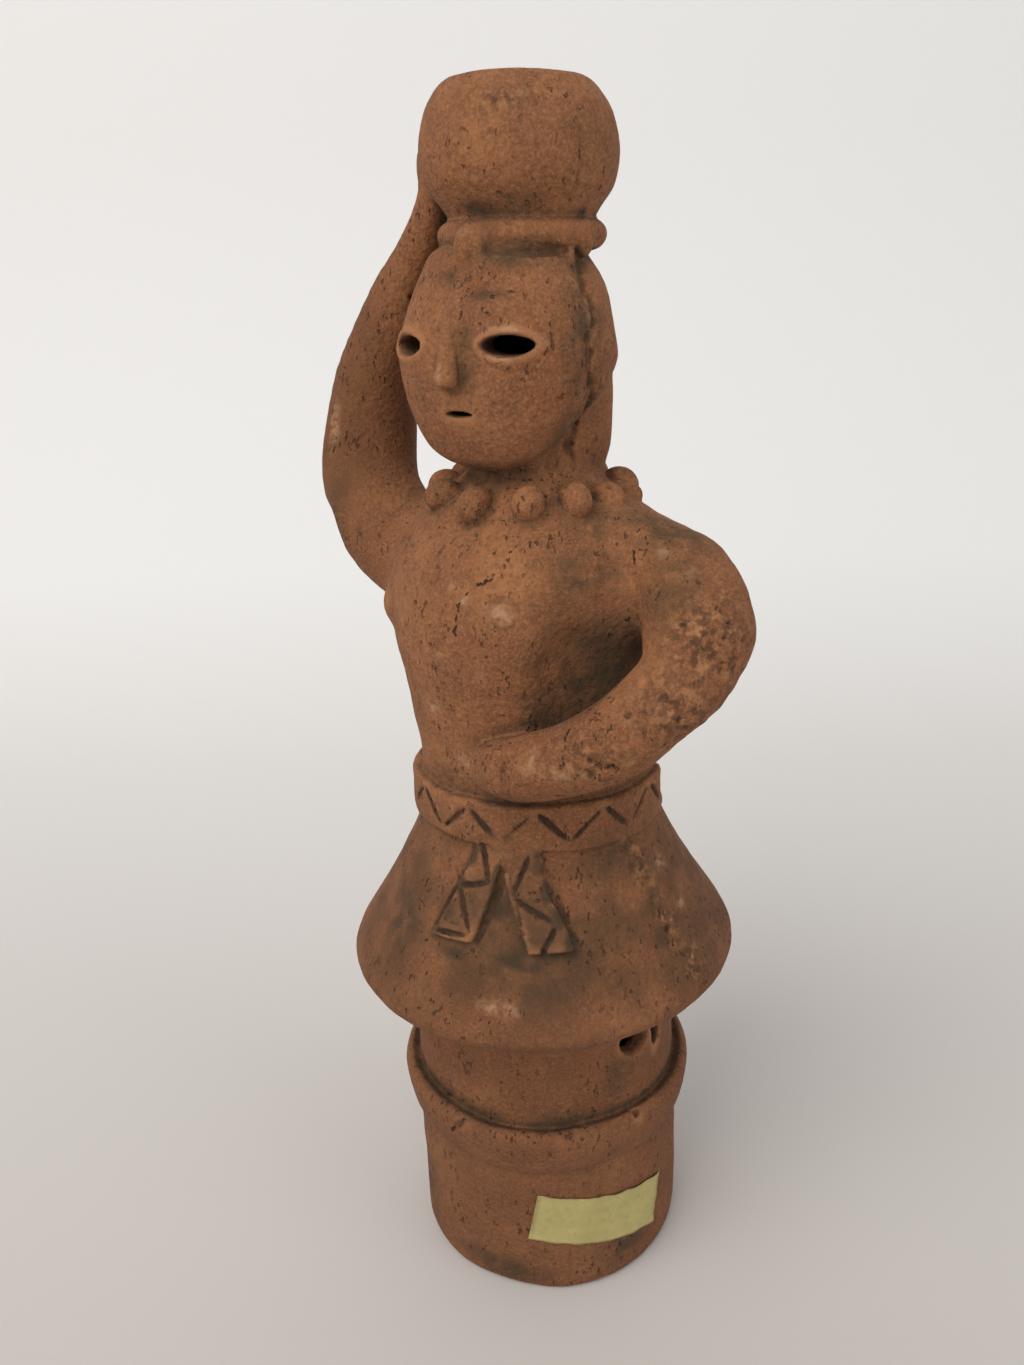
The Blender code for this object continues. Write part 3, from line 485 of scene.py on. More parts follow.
tree, given, made = start_tree(
    "pressed pellets", "GeometryNodeTree",
    {"Points": "Geometry", "Pellet radius": 3.0, "Unevenness": 0.1, "Seed": 4}, "Pellets", "Geometry",
)
ball = put(tree, "GeometryNodeMeshIcoSphere", {"Radius": given["Pellet radius"], "Subdivisions": 4})
turned_by = put(tree, "ShaderNodeCombineXYZ", {"Z": marked(tree, "facing")})
uneven = put(
    tree, "FunctionNodeRandomValue", {0: (-1, -1, -1), 1: (1, 1, 1), "Seed": given["Seed"]},
    data_type="FLOAT_VECTOR",
)
egg = vector_calc(tree, "ADD", vector_calc(tree, "SCALE", uneven, given["Unevenness"]), (1.0, 1.18, 1.08))
scaled = vector_calc(tree, "SCALE", egg, marked(tree, "size"))
laid = put(
    tree, "GeometryNodeInstanceOnPoints",
    {"Points": given["Points"], "Instance": ball.outputs["Mesh"], "Rotation": turned_by, "Scale": scaled},
)
end_geometry(tree, laid, made)

places = []
sizes = []
for number, angle in enumerate(BEAD_ANGLES):
    side = math.radians(angle)
    sunk = max(0.0, math.cos(side - NECKLACE_DROP_SIDE)) ** 2
    level = NECKLACE_LEVEL - 1.2 * math.cos(side) - 2.7 * sunk
    places.append(around(angle, NECKLACE_RADIUS + 1.3 * sunk, level))
    sizes.append(1.0 + 0.06 * math.sin(2.3 * number))
pellets = grown(
    "pellets", places, [], {"size": sizes, "facing": [math.radians(a) for a in BEAD_ANGLES]}, tree,
    {"Pellet radius": BEAD_RADIUS, "Unevenness": 0.12, "Seed": 4},
)
cut, form = as_form(pellets, (-24, -24, 162), (24, 24, 180))
press_on(cut, form, 0.35)

# Breast buttons
# Two low buttons of clay on the chest. The one on her left side has a ring-shaped mark pressed in
# its middle.
BUTTON_RADII = (4.3, 2.3, 4.1)
RING_MARK = (11.2, -24.4, 153.2)


def near(centre, reach):
    """The part of the block that lies this far round a point."""
    return block(np.array(centre) - reach, np.array(centre) + reach)


for angle, radius, level in ((25, 24.7, 152.8), (-50, 27.0, 149.4)):
    centre = around(angle, radius, level)
    cut, x, y, z = near(centre, 9)
    press_on(cut, pellet(centre, BUTTON_RADII, angle, x, y, z), 1.0)
cut, x, y, z = block((2, -34, 144), (22, -14, 162))
away = np.sqrt((x - RING_MARK[0]) ** 2 + (y - RING_MARK[1]) ** 2 + (z - RING_MARK[2]) ** 2)
for ring_radius, ring_width in ((2.6, 0.45), (1.1, 0.35)):
    cut_away(cut, (np.hypot(away - ring_radius, clay[cut]) - ring_width).astype(np.float32), 0.3)

# Belt
# The belt is a flat strip laid round the waist, deeper at the sides, with its lower edge standing
# proud of the skirt. A zigzag was cut in it with a pointed tool; the nodes below draw its strokes.
ZIGZAG_TRIANGLES = 12
BELT_EDGE = 0.8
STROKE_WANDER = 0.5
cut, x, y, z = block((-32, -32, 100), (32, 32, 122))
turn = np.arctan2(x, -y)
aside = 0.5 - 0.5 * np.cos(2 * turn)
half = 4.5 + 0.5 * aside + 0.12 * np.sin(9 * turn)
middle = WAIST_LEVEL - 1.0 * aside + 0.2 * np.sin(2 * turn + 0.5)
across = np.abs(np.hypot(x, y) - WAIST_RADIUS) - (2.0 + 0.12 * np.sin(6 * turn + 1))
along = np.abs(z - middle) - half
belt = np.hypot(np.maximum(across + BELT_EDGE, 0), np.maximum(along + BELT_EDGE, 0))
belt = belt + np.minimum(np.maximum(across + BELT_EDGE, along + BELT_EDGE), 0) - BELT_EDGE
press_on(cut, belt.astype(np.float32), 0.5)

tree, given, made = start_tree(
    "tool strokes", "GeometryNodeTree",
    {"Lines": "Geometry", "Stroke width": 1.4, "Wander": 0.3, "Seed": 9}, "Strokes", "Geometry",
)
line = put(tree, "GeometryNodeMeshToCurve", {0: given["Lines"]})
dense = put(tree, "GeometryNodeResampleCurve", {0: line, "Count": 9})
where = put(tree, "GeometryNodeInputPosition")
seed = calc(tree, "MULTIPLY", given["Seed"], 1.7)
noise = put(tree, "ShaderNodeTexNoise", {"Vector": where, "W": seed, "Scale": 0.45}, noise_dimensions="4D")
centred = vector_calc(tree, "SUBTRACT", noise.outputs["Color"], (0.5, 0.5, 0.5))
shift = vector_calc(tree, "SCALE", centred, given["Wander"])
moved = put(tree, "GeometryNodeSetPosition", {0: dense, "Offset": shift})
share = put(tree, "GeometryNodeSplineParameter").outputs["Factor"]
taper = put(tree, "ShaderNodeFloatCurve", {"Value": share})
for at, height in ((0.0, 0.35), (0.18, 1.0), (0.8, 0.85)):
    taper.mapping.curves[0].points.new(at, height)
taper.mapping.curves[0].points[-1].location = (1.0, 0.25)
taper.mapping.update()
width = calc(tree, "MULTIPLY", calc(tree, "MULTIPLY", taper, given["Stroke width"]), marked(tree, "pressed"))
sized = put(tree, "GeometryNodeSetCurveRadius", {0: moved, "Radius": width})
tip = put(tree, "GeometryNodeCurvePrimitiveCircle", {"Resolution": 10, "Radius": 0.5})
swept = put(
    tree, "GeometryNodeCurveToMesh", {0: sized, "Profile Curve": tip, "Fill Caps": True, "Scale": width}
)
end_geometry(tree, swept, made)


def clay_at(spots, values=clay):
    """Distance of points from the skin of the clay block, read between its points."""
    place = np.clip((spots - np.array(LOW)) / STEP, 0, np.array(POINTS) - 1.01)
    first = place.astype(int)
    f = place - first
    found = 0.0
    for i in (0, 1):
        for j in (0, 1):
            for k in (0, 1):
                weight = (f[:, 0] if i else 1 - f[:, 0]) * (f[:, 1] if j else 1 - f[:, 1])
                weight = weight * (f[:, 2] if k else 1 - f[:, 2])
                found = found + weight * values[first[:, 0] + i, first[:, 1] + j, first[:, 2] + k]
    return found


def on_skin(angle, level, depth):
    """The point this deep in the worked clay at an angle and a level."""
    radius = 34.0
    for _ in range(8):
        radius -= 0.8 * (float(clay_at(np.array([around(angle, radius, level)]))[0]) + depth)
    return around(angle, radius, level)


def strokes_on(lines, depth, width, seed):
    """Strokes sunk this deep along (start, end, pressure) lines; their ends are (angle, level)."""
    points = []
    edges = []
    pressures = []
    for start, end, pressure in lines:
        for share in np.linspace(0.0, 1.0, 6):
            angle = start[0] + (end[0] - start[0]) * share
            level = start[1] + (end[1] - start[1]) * share
            if share > 0:
                edges.append((len(points) - 1, len(points)))
            points.append(on_skin(angle, level, depth))
            pressures.append(pressure)
    values = {"Stroke width": width, "Wander": STROKE_WANDER, "Seed": seed}
    return grown("strokes", points, edges, {"pressed": pressures}, tree, values)


lines = []
for number in range(ZIGZAG_TRIANGLES):
    left = 5.6 + 30 * number
    wave = math.sin(1.9 * number)
    falling = ((left - 0.6, 114.0 + 0.2 * wave), (left + 11.8 + 0.5 * wave, 108.2))
    rising = ((left + 13.6, 108.2 - 0.2 * wave), (left + 27.2 + wave, 114.1))
    lines.append((*falling, 0.95 + 0.15 * wave))
    lines.append((*rising, 0.62 + 0.12 * wave))
cut, form = as_form(strokes_on(lines, 0.30, 1.12, 9), (-32, -32, 100), (32, 32, 122))
cut_away(cut, form, 0.2)
incised = np.full(POINTS, 9.0, np.float32)
incised[cut] = form

# Sash ends
# The two ends of the sash are flat strips that fan out over the front of the skirt, one lapped over
# the other. Slanting cuts across them stand for the folds of the cloth.
SASH = (
    (1.3, ((7, 107.8), (22, 107.8), (11, 87.75), (-5.5, 88.75)),
     ((0.20, 0.02, 0.80, 0.42), (0.10, 0.50, 0.86, 0.41), (0.12, 0.53, 0.88, 0.90),
      (0.10, 0.955, 0.84, 0.92))),
    (1.75, ((15, 107.8), (34, 107.8), (46, 89.95), (31, 87.95)),
     ((0.80, 0.10, 0.14, 0.46), (0.14, 0.49, 0.84, 0.68), (0.86, 0.72, 0.28, 0.965))),
)
for proud, corners, cuts in SASH:
    (al, zl), (ar, zr), (br, wr), (bl, wl) = corners
    cut, x, y, z = block((-12, -42, 82), (38, -8, 112))
    angle = np.degrees(np.arctan2(x, -y))
    down = (zl - z + 0.03 * angle) / (zl - wl)
    left, right = al + (bl - al) * down, ar + (br - ar) * down
    radius = np.hypot(x, y)
    edge = np.maximum(left - angle, angle - right) * (radius * math.pi / 180)
    edge = np.maximum(edge, np.maximum(down - 1.0, -down - 0.1) * 20.0)
    thick = np.abs(bare_skirt[cut]) - proud
    strap = np.hypot(np.maximum(edge + 0.7, 0), np.maximum(thick + 0.7, 0)) - 0.7
    strap = strap + np.minimum(np.maximum(edge + 0.7, thick + 0.7), 0)
    press_on(cut, strap.astype(np.float32), 0.25)
    lines = []
    for cut_line in cuts:
        ends = []
        for share, down in (cut_line[:2], cut_line[2:]):
            left, right = al + (bl - al) * down, ar + (br - ar) * down
            ends.append((left + (right - left) * share, zl + (wl - zl) * down))
        lines.append((*ends, 0.9))
    folds = strokes_on(lines, 0.28, 1.12, 3)
    cut, form = as_form(folds, (-12, -42, 82), (38, -8, 112))
    cut_away(cut, form, 0.2)
    incised[cut] = np.minimum(incised[cut], form)

# Hollow and openings
# The figure is hollow from the open foot to the head, and the jar is hollow too. Round holes are
# pierced through the drum under the skirt, two of them run together on her left side.
hollow = turned([
    (0.0, 209.5), (7.4, 207.9), (12.1, 202.5), (13.4, 196.5), (12.1, 188.5), (8.3, 184.1),
    (6.2, 181.5), (6.2, 169.5), (11.8, 164.5), (14.8, 158.0), (17.4, 149.0), (18.6, 133.0),
    (19.1, 111.0), (20.8, 100.4), (25.2, 89.9), (31.7, 79.3), (32.7, 75.9), (24.5, 62.0),
    (24.5, -6.0), (0.0, -6.0),
])
cut, x, y, z = block((-36, -36, -3), (36, 36, 214))
cut_away(cut, hollow(np.hypot(x, y), z + 0 * x), 0.8)
jar_hollow = turned([
    (0.0, 243.0), (8.9, 243.0), (8.6, 237.8), (12.3, 234.6), (13.4, 229.6), (12.1, 225.1),
    (8.3, 222.0), (0.0, 221.5),
])
cut, x, y, z = block((-16, -16, 218), (16, 16, 243))
cut_away(cut, jar_hollow(np.hypot(x, y), z + 0 * x), 0.8)
for angle, radius, level in ((76.0, 3.9, 60.4), (-100.0, 4.4, 60.4)):
    bore = [(*around(angle, 18.0, level), radius), (*around(angle, 38.0, level), radius)]
    bore = np.array(bore, np.float32)
    low = np.minimum(bore[0, :3], bore[1, :3]) - 6
    high = np.maximum(bore[0, :3], bore[1, :3]) + 6
    cut, x, y, z = block(low, high)
    cut_away(cut, roll(bore, x, y, z), 0.6)
cut, x, y, z = block((14, -14, 52), (40, 14, 70))
cut_away(cut, pellet(around(89.0, 29.0, 60.4), (1.6, 7.5, 5.2), 89.0, x, y, z), 0.4)

# Damage and tool marks
# Chips at the jar's rim and the foot came with handling. The ridge torn where the halves of the
# mould met, the seam's grooves and the flats pared with a knife were there when it was fired.
for place, radii in (
    ((11.6, -11.4, 234.4), (0.6, 0.6, 0.7)), ((12.4, -4.6, 240.3), (1.2, 1.0, 0.8)),
    ((15.6, -6.5, 237.2), (0.9, 0.9, 0.8)), ((7.1, -28.6, -0.2), (2.6, 1.2, 0.9)),
    ((24.4, -15.6, -0.1), (1.8, 1.6, 0.8)), ((-16.0, -23.5, -0.2), (3.0, 1.5, 0.8)),
    ((33.4, -22.9, 139.7), (1.1, 0.7, 0.6)), ((35.3, -22.7, 139.2), (0.6, 0.6, 0.9)),
    ((29.4, -9.6, 44.0), (0.7, 0.7, 1.2)), ((28.5, -8.7, 33.0), (0.6, 0.6, 1.3)),
    ((28.1, -8.4, 28.5), (0.6, 0.6, 1.0)), ((-8.0, 28.6, 0.0), (3.2, 1.2, 0.9)),
):
    cut, x, y, z = near(place, 5)
    cut_away(cut, pellet(place, radii, 0.0, x, y, z), 0.4)
RIDGES = (
    ((24.4, -8.8, 107.0, 0.7), (24.3, -6.1, 104.4, 0.9), (27.2, -2.2, 99.0, 0.9), (30.3, -4.2, 92.7, 0.8),
     (33.4, -6.6, 86.6, 0.8), (35.6, -7.7, 82.8, 0.6)),
    ((12.2, -28.9, 129.2, 1.0), (11.3, -30.3, 125.8, 1.5), (12.2, -30.3, 122.2, 1.0)),
    ((18.9, -27.9, 131.4, 0.5), (17.9, -29.7, 129.0, 0.9), (19.4, -30.6, 126.2, 0.7)),
    ((20.2, -17.0, 139.2, 0.8), (21.6, -15.4, 136.8, 1.2), (20.8, -17.4, 134.6, 0.7)),
    ((-24.6, 8.0, 107.0, 0.6), (-28.0, 9.0, 98.0, 0.8), (-33.4, 10.5, 87.0, 0.7), (-36.6, 11.5, 81.0, 0.5)),
)
GROOVES = [
    ((13.3, -4.4, 238.6, 0.2), (15.6, -5.2, 234.2, 0.4), (16.6, -5.5, 229.0, 0.5), (15.8, -5.2, 224.0, 0.4),
     (13.2, -4.4, 219.4, 0.3)),
    ((14.9, -29.4, 129.4, 0.2), (14.3, -30.6, 126.0, 0.6), (14.9, -30.6, 122.6, 0.3)),
    ((-2.7, -31.6, 38.6, 0.3), (-1.0, -31.9, 41.2, 0.6), (0.8, -31.6, 44.0, 0.5)),
    ((-13.3, 4.4, 238.6, 0.2), (-16.6, 5.5, 229.0, 0.5), (-13.2, 4.4, 219.4, 0.3)),
]
RING_AND_SASH_EDGES = (
    ((14, 212.9, 0.5), (36, 212.4, 0.9), (60, 212.2, 0.6)),
    ((6.0, 106.0, 0.5), (1.6, 100.0, 0.65), (-2.6, 94.0, 0.65), (-6.4, 89.0, 0.4)),
    ((35.0, 105.5, 0.55), (39.4, 99.5, 0.7), (43.4, 94.5, 0.6), (46.8, 90.2, 0.35)),
    ((21.6, 103.5, 0.35), (18.4, 98.0, 0.6), (14.6, 92.5, 0.6), (12.0, 88.6, 0.4)),
    ((22.4, 103.0, 0.35), (26.0, 97.0, 0.5), (30.0, 90.0, 0.4)),
)
PARED = (
    ((17.5, 10.0, 197.5), (9, 10, 12), 2.0), ((45.0, -7.0, 141.5), (12, 12, 12), 1.3),
    ((39.5, -12.0, 134.0), (12, 12, 10), 1.7), ((22.5, 16.0, 112.0), (9, 9, 8), 2.2),
    ((22.0, 14.5, 121.0), (7, 7, 8), 1.2), ((31.0, 4.0, 169.0), (12, 10, 7), 2.4),
    ((-44.0, -9.0, 160.0), (9, 9, 8), 1.6), ((-20.5, -15.0, 121.5), (7, 7, 7), 1.0),
)


def beside(path, ragged):
    """Distance to a ragged roll through (x, y, z, radius) points, the block round it and the wobble."""
    line = curve_through(path, 4).astype(np.float32)
    cut, x, y, z = block(line[:, :3].min(0) - 4, line[:, :3].max(0) + 4)
    return cut, roll(line, x, y, z), ragged * np.sin(2.1 * x + 1.7 * z) * np.sin(1.3 * y + 2.9 * z)


for ridge in RIDGES:
    cut, form, wobble = beside(ridge, 0.25)
    form = form + np.clip(clay[cut], 0.0, None) * 0.5 + wobble
    press_on(cut, form.astype(np.float32), 0.5)
for edge in RING_AND_SASH_EDGES:
    GROOVES.append([(*on_skin(angle, level, 0.1), radius) for angle, level, radius in edge])
for groove in GROOVES:
    cut, form, wobble = beside(groove, 0.15)
    cut_away(cut, (form + wobble).astype(np.float32), 0.4)
for centre, reach, depth in PARED:
    cut, x, y, z = near(centre, reach)
    share = np.clip(1.0 - pellet(centre, reach, 0.0, x, y, z) / min(reach) - 1.0, 0.0, 1.0)
    clay[cut] += (depth * share * share * (3.0 - 2.0 * share)).astype(np.float32)

# Clay skin
# One skin is taken off the worked block: the whole figure is a single piece of fired clay. The
# nodes add the unevenness left by fingers and mould, and the marks below keep its dirt and wear,
# with painted shade in its hollows and a painted highlight on its crests.
TRIANGLES = 190000
grid = openvdb.FloatGrid(3.0)
grid.copyFromArray(np.clip(clay, -3.0, 3.0))
points, quads = grid.convertToQuads(isovalue=0.0)
points = points * STEP + np.array(LOW, np.float32)

PITTED = (
    ((44, -12, 150), (9, 13, 13)), ((41, -16, 140), (9, 12, 9)), ((30, -24, 131), (10, 7, 6)),
    ((27, -5, 99), (5, 4, 9)), ((32, -4, 89), (5, 4, 9)), ((38, -2, 79), (5, 4, 7)),
    ((28, -3, 62), (4, 5, 5)), ((0, 25, 150), (14, 8, 14)), ((-27, 2, 92), (5, 5, 14)),
    ((17.5, -5, 203), (3, 4, 9)),
    ((16, -3, 188), (4, 4, 9)), ((12, -8, 176), (5, 5, 4)), ((6, -13, 235), (7, 5, 2.5)),
)


def fade(spots, centre, reach):
    """1 at a centre, falling to 0 at the reach given on each axis."""
    away = np.sqrt((((spots - np.array(centre)) / np.array(reach)) ** 2).sum(1))
    return np.clip(1.35 * (1.0 - away), 0.0, 1.0)


def most(spots, places):
    """The strongest fade of several (centre, reach) places at each spot."""
    found = np.zeros(len(spots))
    for centre, reach in places:
        found = np.maximum(found, fade(spots, centre, reach))
    return found


def set_mark(mesh, name, values):
    """Keep a number on every point of a mesh, in place of what it had under this name."""
    if name in mesh.attributes:
        mesh.attributes.remove(mesh.attributes[name])
    mesh.attributes.new(name, "FLOAT", "POINT").data.foreach_set("value", values.astype(np.float32))


mesh = bpy.data.meshes.new("haniwa_clay")
mesh.vertices.add(len(points))
mesh.vertices.foreach_set("co", (points * MM).ravel())
mesh.loops.add(quads.size)
mesh.loops.foreach_set("vertex_index", quads.astype(np.int32).ravel())
mesh.polygons.add(len(quads))
mesh.polygons.foreach_set("loop_start", np.arange(0, quads.size, 4, dtype=np.int32))
mesh.update(calc_edges=True)
set_mark(mesh, "pitted", most(points, PITTED))
skin = in_scene("haniwa_clay", mesh)

tree, given, made = start_tree(
    "worked clay surface", "GeometryNodeTree",
    {"Skin": "Geometry", "Finger marks height": 0.0005, "Finger marks size": 0.009, "Grit height": 0.00012,
     "Grit size": 0.0016, "Pit depth": 0.0008, "Seed": 2.0},
    "Skin", "Geometry",
)
where = put(tree, "GeometryNodeInputPosition")


def off_half(tree, noise):
    """Noise moved so that it swings round 0."""
    return calc(tree, "SUBTRACT", noise, 0.5)


total = None
for kind, detail in (("Finger marks", 1.0), ("Grit", 3.0)):
    scale = calc(tree, "DIVIDE", 1.0, given[kind + " size"])
    noise = put(
        tree, "ShaderNodeTexNoise", {"Vector": where, "W": given["Seed"], "Scale": scale, "Detail": detail},
        noise_dimensions="4D",
    )
    height = calc(tree, "MULTIPLY", off_half(tree, noise), given[kind + " height"])
    total = height if total is None else calc(tree, "ADD", total, height)
crooked = put(tree, "ShaderNodeTexNoise", {"Vector": where, "Scale": 600.0, "Detail": 3.0})
crooked = vector_calc(tree, "ADD", vector_calc(tree, "SCALE", crooked.outputs["Color"], 0.0045), where)
cells = put(tree, "ShaderNodeTexVoronoi", {"Vector": crooked, "Scale": 430.0, "Randomness": 1.0})


def ranged(tree, value, low, high, least=0.0, greatest=1.0):
    """A value read between low and high as a share that runs from least to greatest."""
    limits = {"Value": value, "From Min": low, "From Max": high, "To Min": least, "To Max": greatest}
    return put(tree, "ShaderNodeMapRange", limits).outputs[0]


pits = calc(
    tree, "MULTIPLY", ranged(tree, cells.outputs["Distance"], 0.12, 0.42, 1.0, 0.0), marked(tree, "pitted")
)
patchy = put(tree, "ShaderNodeTexNoise", {"Vector": where, "Scale": 260.0})
pits = calc(tree, "MULTIPLY", pits, ranged(tree, patchy, 0.42, 0.6))
pits = calc(tree, "MULTIPLY", pits, given["Pit depth"])
crumbs = put(tree, "ShaderNodeTexNoise", {"Vector": where, "Scale": 480.0, "Detail": 3.0})
crumbs = calc(tree, "MULTIPLY", off_half(tree, crumbs), given["Pit depth"])
crumbs = calc(tree, "MULTIPLY", crumbs, marked(tree, "pitted"))
total = calc(tree, "SUBTRACT", calc(tree, "ADD", total, crumbs), pits)
offset = vector_calc(tree, "SCALE", put(tree, "GeometryNodeInputNormal"), total)
moved = put(tree, "GeometryNodeSetPosition", {0: given["Skin"], "Offset": offset})
end_geometry(tree, moved, made)

set_inputs(
    skin.modifiers.new("worked surface", "NODES"), tree,
    {"Finger marks height": 0.0007, "Finger marks size": 0.010, "Grit height": 0.00016, "Pit depth": 0.0013},
)
thin = skin.modifiers.new("thin", "DECIMATE")
thin.ratio = TRIANGLES / (2 * len(quads))
mesh = plain_mesh(skin)
mesh.name = "haniwa_clay"
body = bmesh.new()
body.from_mesh(mesh)
bmesh.ops.triangulate(body, faces=body.faces)
body.to_mesh(mesh)
body.free()
mesh.shade_smooth()
figure = in_scene("haniwa_clay", mesh)

spots = np.empty(len(mesh.vertices) * 3, np.float32)
mesh.vertices.foreach_get("co", spots)
spots = spots.reshape(-1, 3) * 1000
spots[:, 2] = np.clip(spots[:, 2], 0.0, TOP_LEVEL)
mesh.vertices.foreach_set("co", (spots * MM).ravel())
mesh.update()
normals = np.empty(len(mesh.vertices) * 3, np.float32)
mesh.vertices.foreach_get("normal", normals)
normals = normals.reshape(-1, 3)
# Painted shade: the first mark grows where the clay closes round a point, in its hollows, creases and joints,
# and stands for the shade there and the dirt that lies in them.
hollow_shade_and_dirt = np.zeros(len(spots))
crest_wear_and_highlight = np.zeros(len(spots))
for reach, weight in ((0.9, 0.35), (2.0, 0.35), (4.5, 0.3)):
    hollow_shade_and_dirt += weight * np.clip(1.0 - clay_at(spots + normals * reach) / reach, 0.0, 1.0)
# Painted highlight: the second mark grows on edges and ridges and stands for the light on them and for rubbed
# wear.
for reach in (0.8, 1.6):
    crest_wear_and_highlight += 0.5 * np.clip(1.0 + clay_at(spots - normals * reach) / reach, 0.0, 1.0)
# Painted shade with dirt along the outer edges of the two sash ends, between them and under their feet, where
# they stand off the skirt.
STRAP_EDGE_SHADE_AND_DIRT = (
    (around(5.5, 26.5, 104.5), (2.0, 3, 3.6)), (around(2, 29, 99.5), (2.0, 3, 4)),
    (around(-1, 31.5, 94.5), (2.1, 3, 4)), (around(-4.5, 33.5, 90.5), (2.2, 3, 3.5)),
    (around(18, 27.5, 101.5), (1.8, 3, 3.5)), (around(19, 30, 96), (2.6, 3, 4)),
    (around(21, 32.5, 91.5), (3.6, 3, 4)), (around(34.5, 27.5, 105), (2.0, 3, 3.6)),
    (around(37.5, 29.5, 100), (2.0, 3, 4)), (around(41, 31.5, 95), (2.2, 3, 4)),
    (around(45.5, 33.5, 90.5), (2.4, 3, 3.8)), (around(28, 34, 87), (9, 3, 2.0)),
    (around(5, 35, 86.5), (6, 3, 1.8)),
)
# Painted shade: the inside of the hollow is darkened all over.
hollow_skin = hollow(np.hypot(spots[:, 0], spots[:, 1]), spots[:, 2]) < 0.7
hollow_shade_and_dirt = np.maximum(hollow_shade_and_dirt, 0.6 * hollow_skin)
# Painted shade in the recess between her left arm and her side.
hollow_shade_and_dirt += 0.6 * fade(spots, (24.5, -15.5, 140.5), (9, 9, 13))
hollow_shade_and_dirt += 0.75 * most(spots, STRAP_EDGE_SHADE_AND_DIRT)
# Soot and dirt smudges. Those beside the nose, in the eye slits, under the ring, round both arms, under her
# left hand, above the rib and on the drum under the skirt are painted shade as well.
SOOT_AND_SHADE = (
    ((24.4, -6.5, 104.4), (2.2, 3, 4.5)), ((27.2, -2.6, 98.5), (2.2, 3, 4.5)),
    ((30.3, -4.6, 92), (2.2, 3, 5)), ((33.6, -6.8, 86), (2.4, 3, 5)), ((22, -14, 160), (9, 8, 7)),
    ((36, -8, 157), (8, 8, 9)), ((-10.4, -13.6, 197.9), (5.5, 3.2, 3.5)),
    ((8.3, -14.2, 197.9), (5.5, 3.2, 3.5)), ((21, -19, 141), (9, 8, 12)), ((32, -2, 166), (15, 9, 6)),
    ((18, -8, 167), (6, 6, 4)), ((17, -20, 136), (9, 6, 6)), ((25, -12, 143), (8, 8, 12)),
    ((2.4, -20.0, 196), (3.0, 3.5, 8)), ((8, -14, 211.8), (9, 7, 3.1)), ((7, -12, 220), (8, 5, 2.2)),
    ((17, -8, 197), (5, 6, 13)), ((15, -6, 183), (6, 8, 7)), ((19, -5, 204), (4, 6, 6)),
    ((13, -3, 210), (3, 3.5, 5)), ((6, -18, 205.8), (6, 2.5, 1.6)), ((-3, -16, 208.5), (5, 4, 2.4)),
    ((4, -27, 118), (26, 9, 3)), ((18, -28, 86), (20, 12, 8)), ((0, -30.5, 45.6), (24, 6, 2.2)),
    ((22, -21, 46), (11, 11, 2.8)), ((27, -12, 53), (4, 6, 6)), ((12, -29, 98), (12, 7, 8)),
    ((26, -12, 102), (7, 9, 5)), ((9, -28, 91), (2.6, 4, 3)), ((-12, -29, 86), (12, 8, 10)),
    ((-18, -24, 12), (10, 8, 12)), ((10, -29, 5), (22, 8, 5)), ((28, -12, 8), (6, 12, 6)),
    ((-38, -8, 165), (6, 9, 12)), ((-14, -12, 160), (8, 8, 5)), ((0, 28, 120), (18, 8, 8)),
    ((-4, 22, 176), (12, 8, 9)), ((-30, 12, 98), (10, 12, 12)), ((8, 30, 40), (16, 8, 12)),
    ((4, 14, 214), (12, 6, 3)),
)
PALE = (
    ((32.6, -4.2, 165.1), (1.6, 1.6, 0.8)), ((33, -6.7, 163.2), (1.8, 1.6, 1.0)),
    ((38.5, -7.9, 160.8), (2, 2, 1.0)), ((6.8, -26.1, 141.5), (0.8, 2, 2.4)),
    ((-1.4, -27.1, 144.4), (0.7, 2, 2.2)), ((0.5, -27, 157.5), (3, 3, 1.8)),
    ((11.6, -29.6, 125.5), (0.8, 2.4, 3.4)), ((19.6, -28.9, 129.4), (0.9, 2.4, 3.6)),
    ((1.2, -25, 123), (3, 3, 3)), ((9.4, -18.6, 200.4), (5.5, 2, 0.9)), ((24, -27.5, 128), (10, 6, 1.6)),
    ((-42, -8, 181), (2, 5, 7)), ((14.4, -34.3, 79.5), (6, 5, 1.6)), ((3.5, -25.5, 155), (0.8, 2, 2.0)),
    ((-6, -25.4, 133), (3, 3, 2)), ((27.9, 2.2, 97.6), (1.4, 2.4, 3)), ((32.3, 2.8, 89.6), (1.2, 2, 3)),
    ((8.6, -19.2, 195.9), (5.2, 2, 0.8)), ((11.2, -25, 153.2), (3.6, 3, 3.6)),
    ((-0.8, -24.2, 194.5), (1.0, 1.4, 3.4)), ((8, -26, 163), (2, 3, 1.2)),
)
for name, values in (
    ("hollow_shade_and_dirt", hollow_shade_and_dirt), ("crest_wear_and_highlight", crest_wear_and_highlight), ("soot_and_shade", most(spots, SOOT_AND_SHADE + STRAP_EDGE_SHADE_AND_DIRT)), ("pale", most(spots, PALE)),
    ("pitted", most(spots, PITTED)), ("incised", np.clip(1.0 - clay_at(spots, incised) / 0.35, 0.0, 1.0)),
):
    set_mark(mesh, name, values)

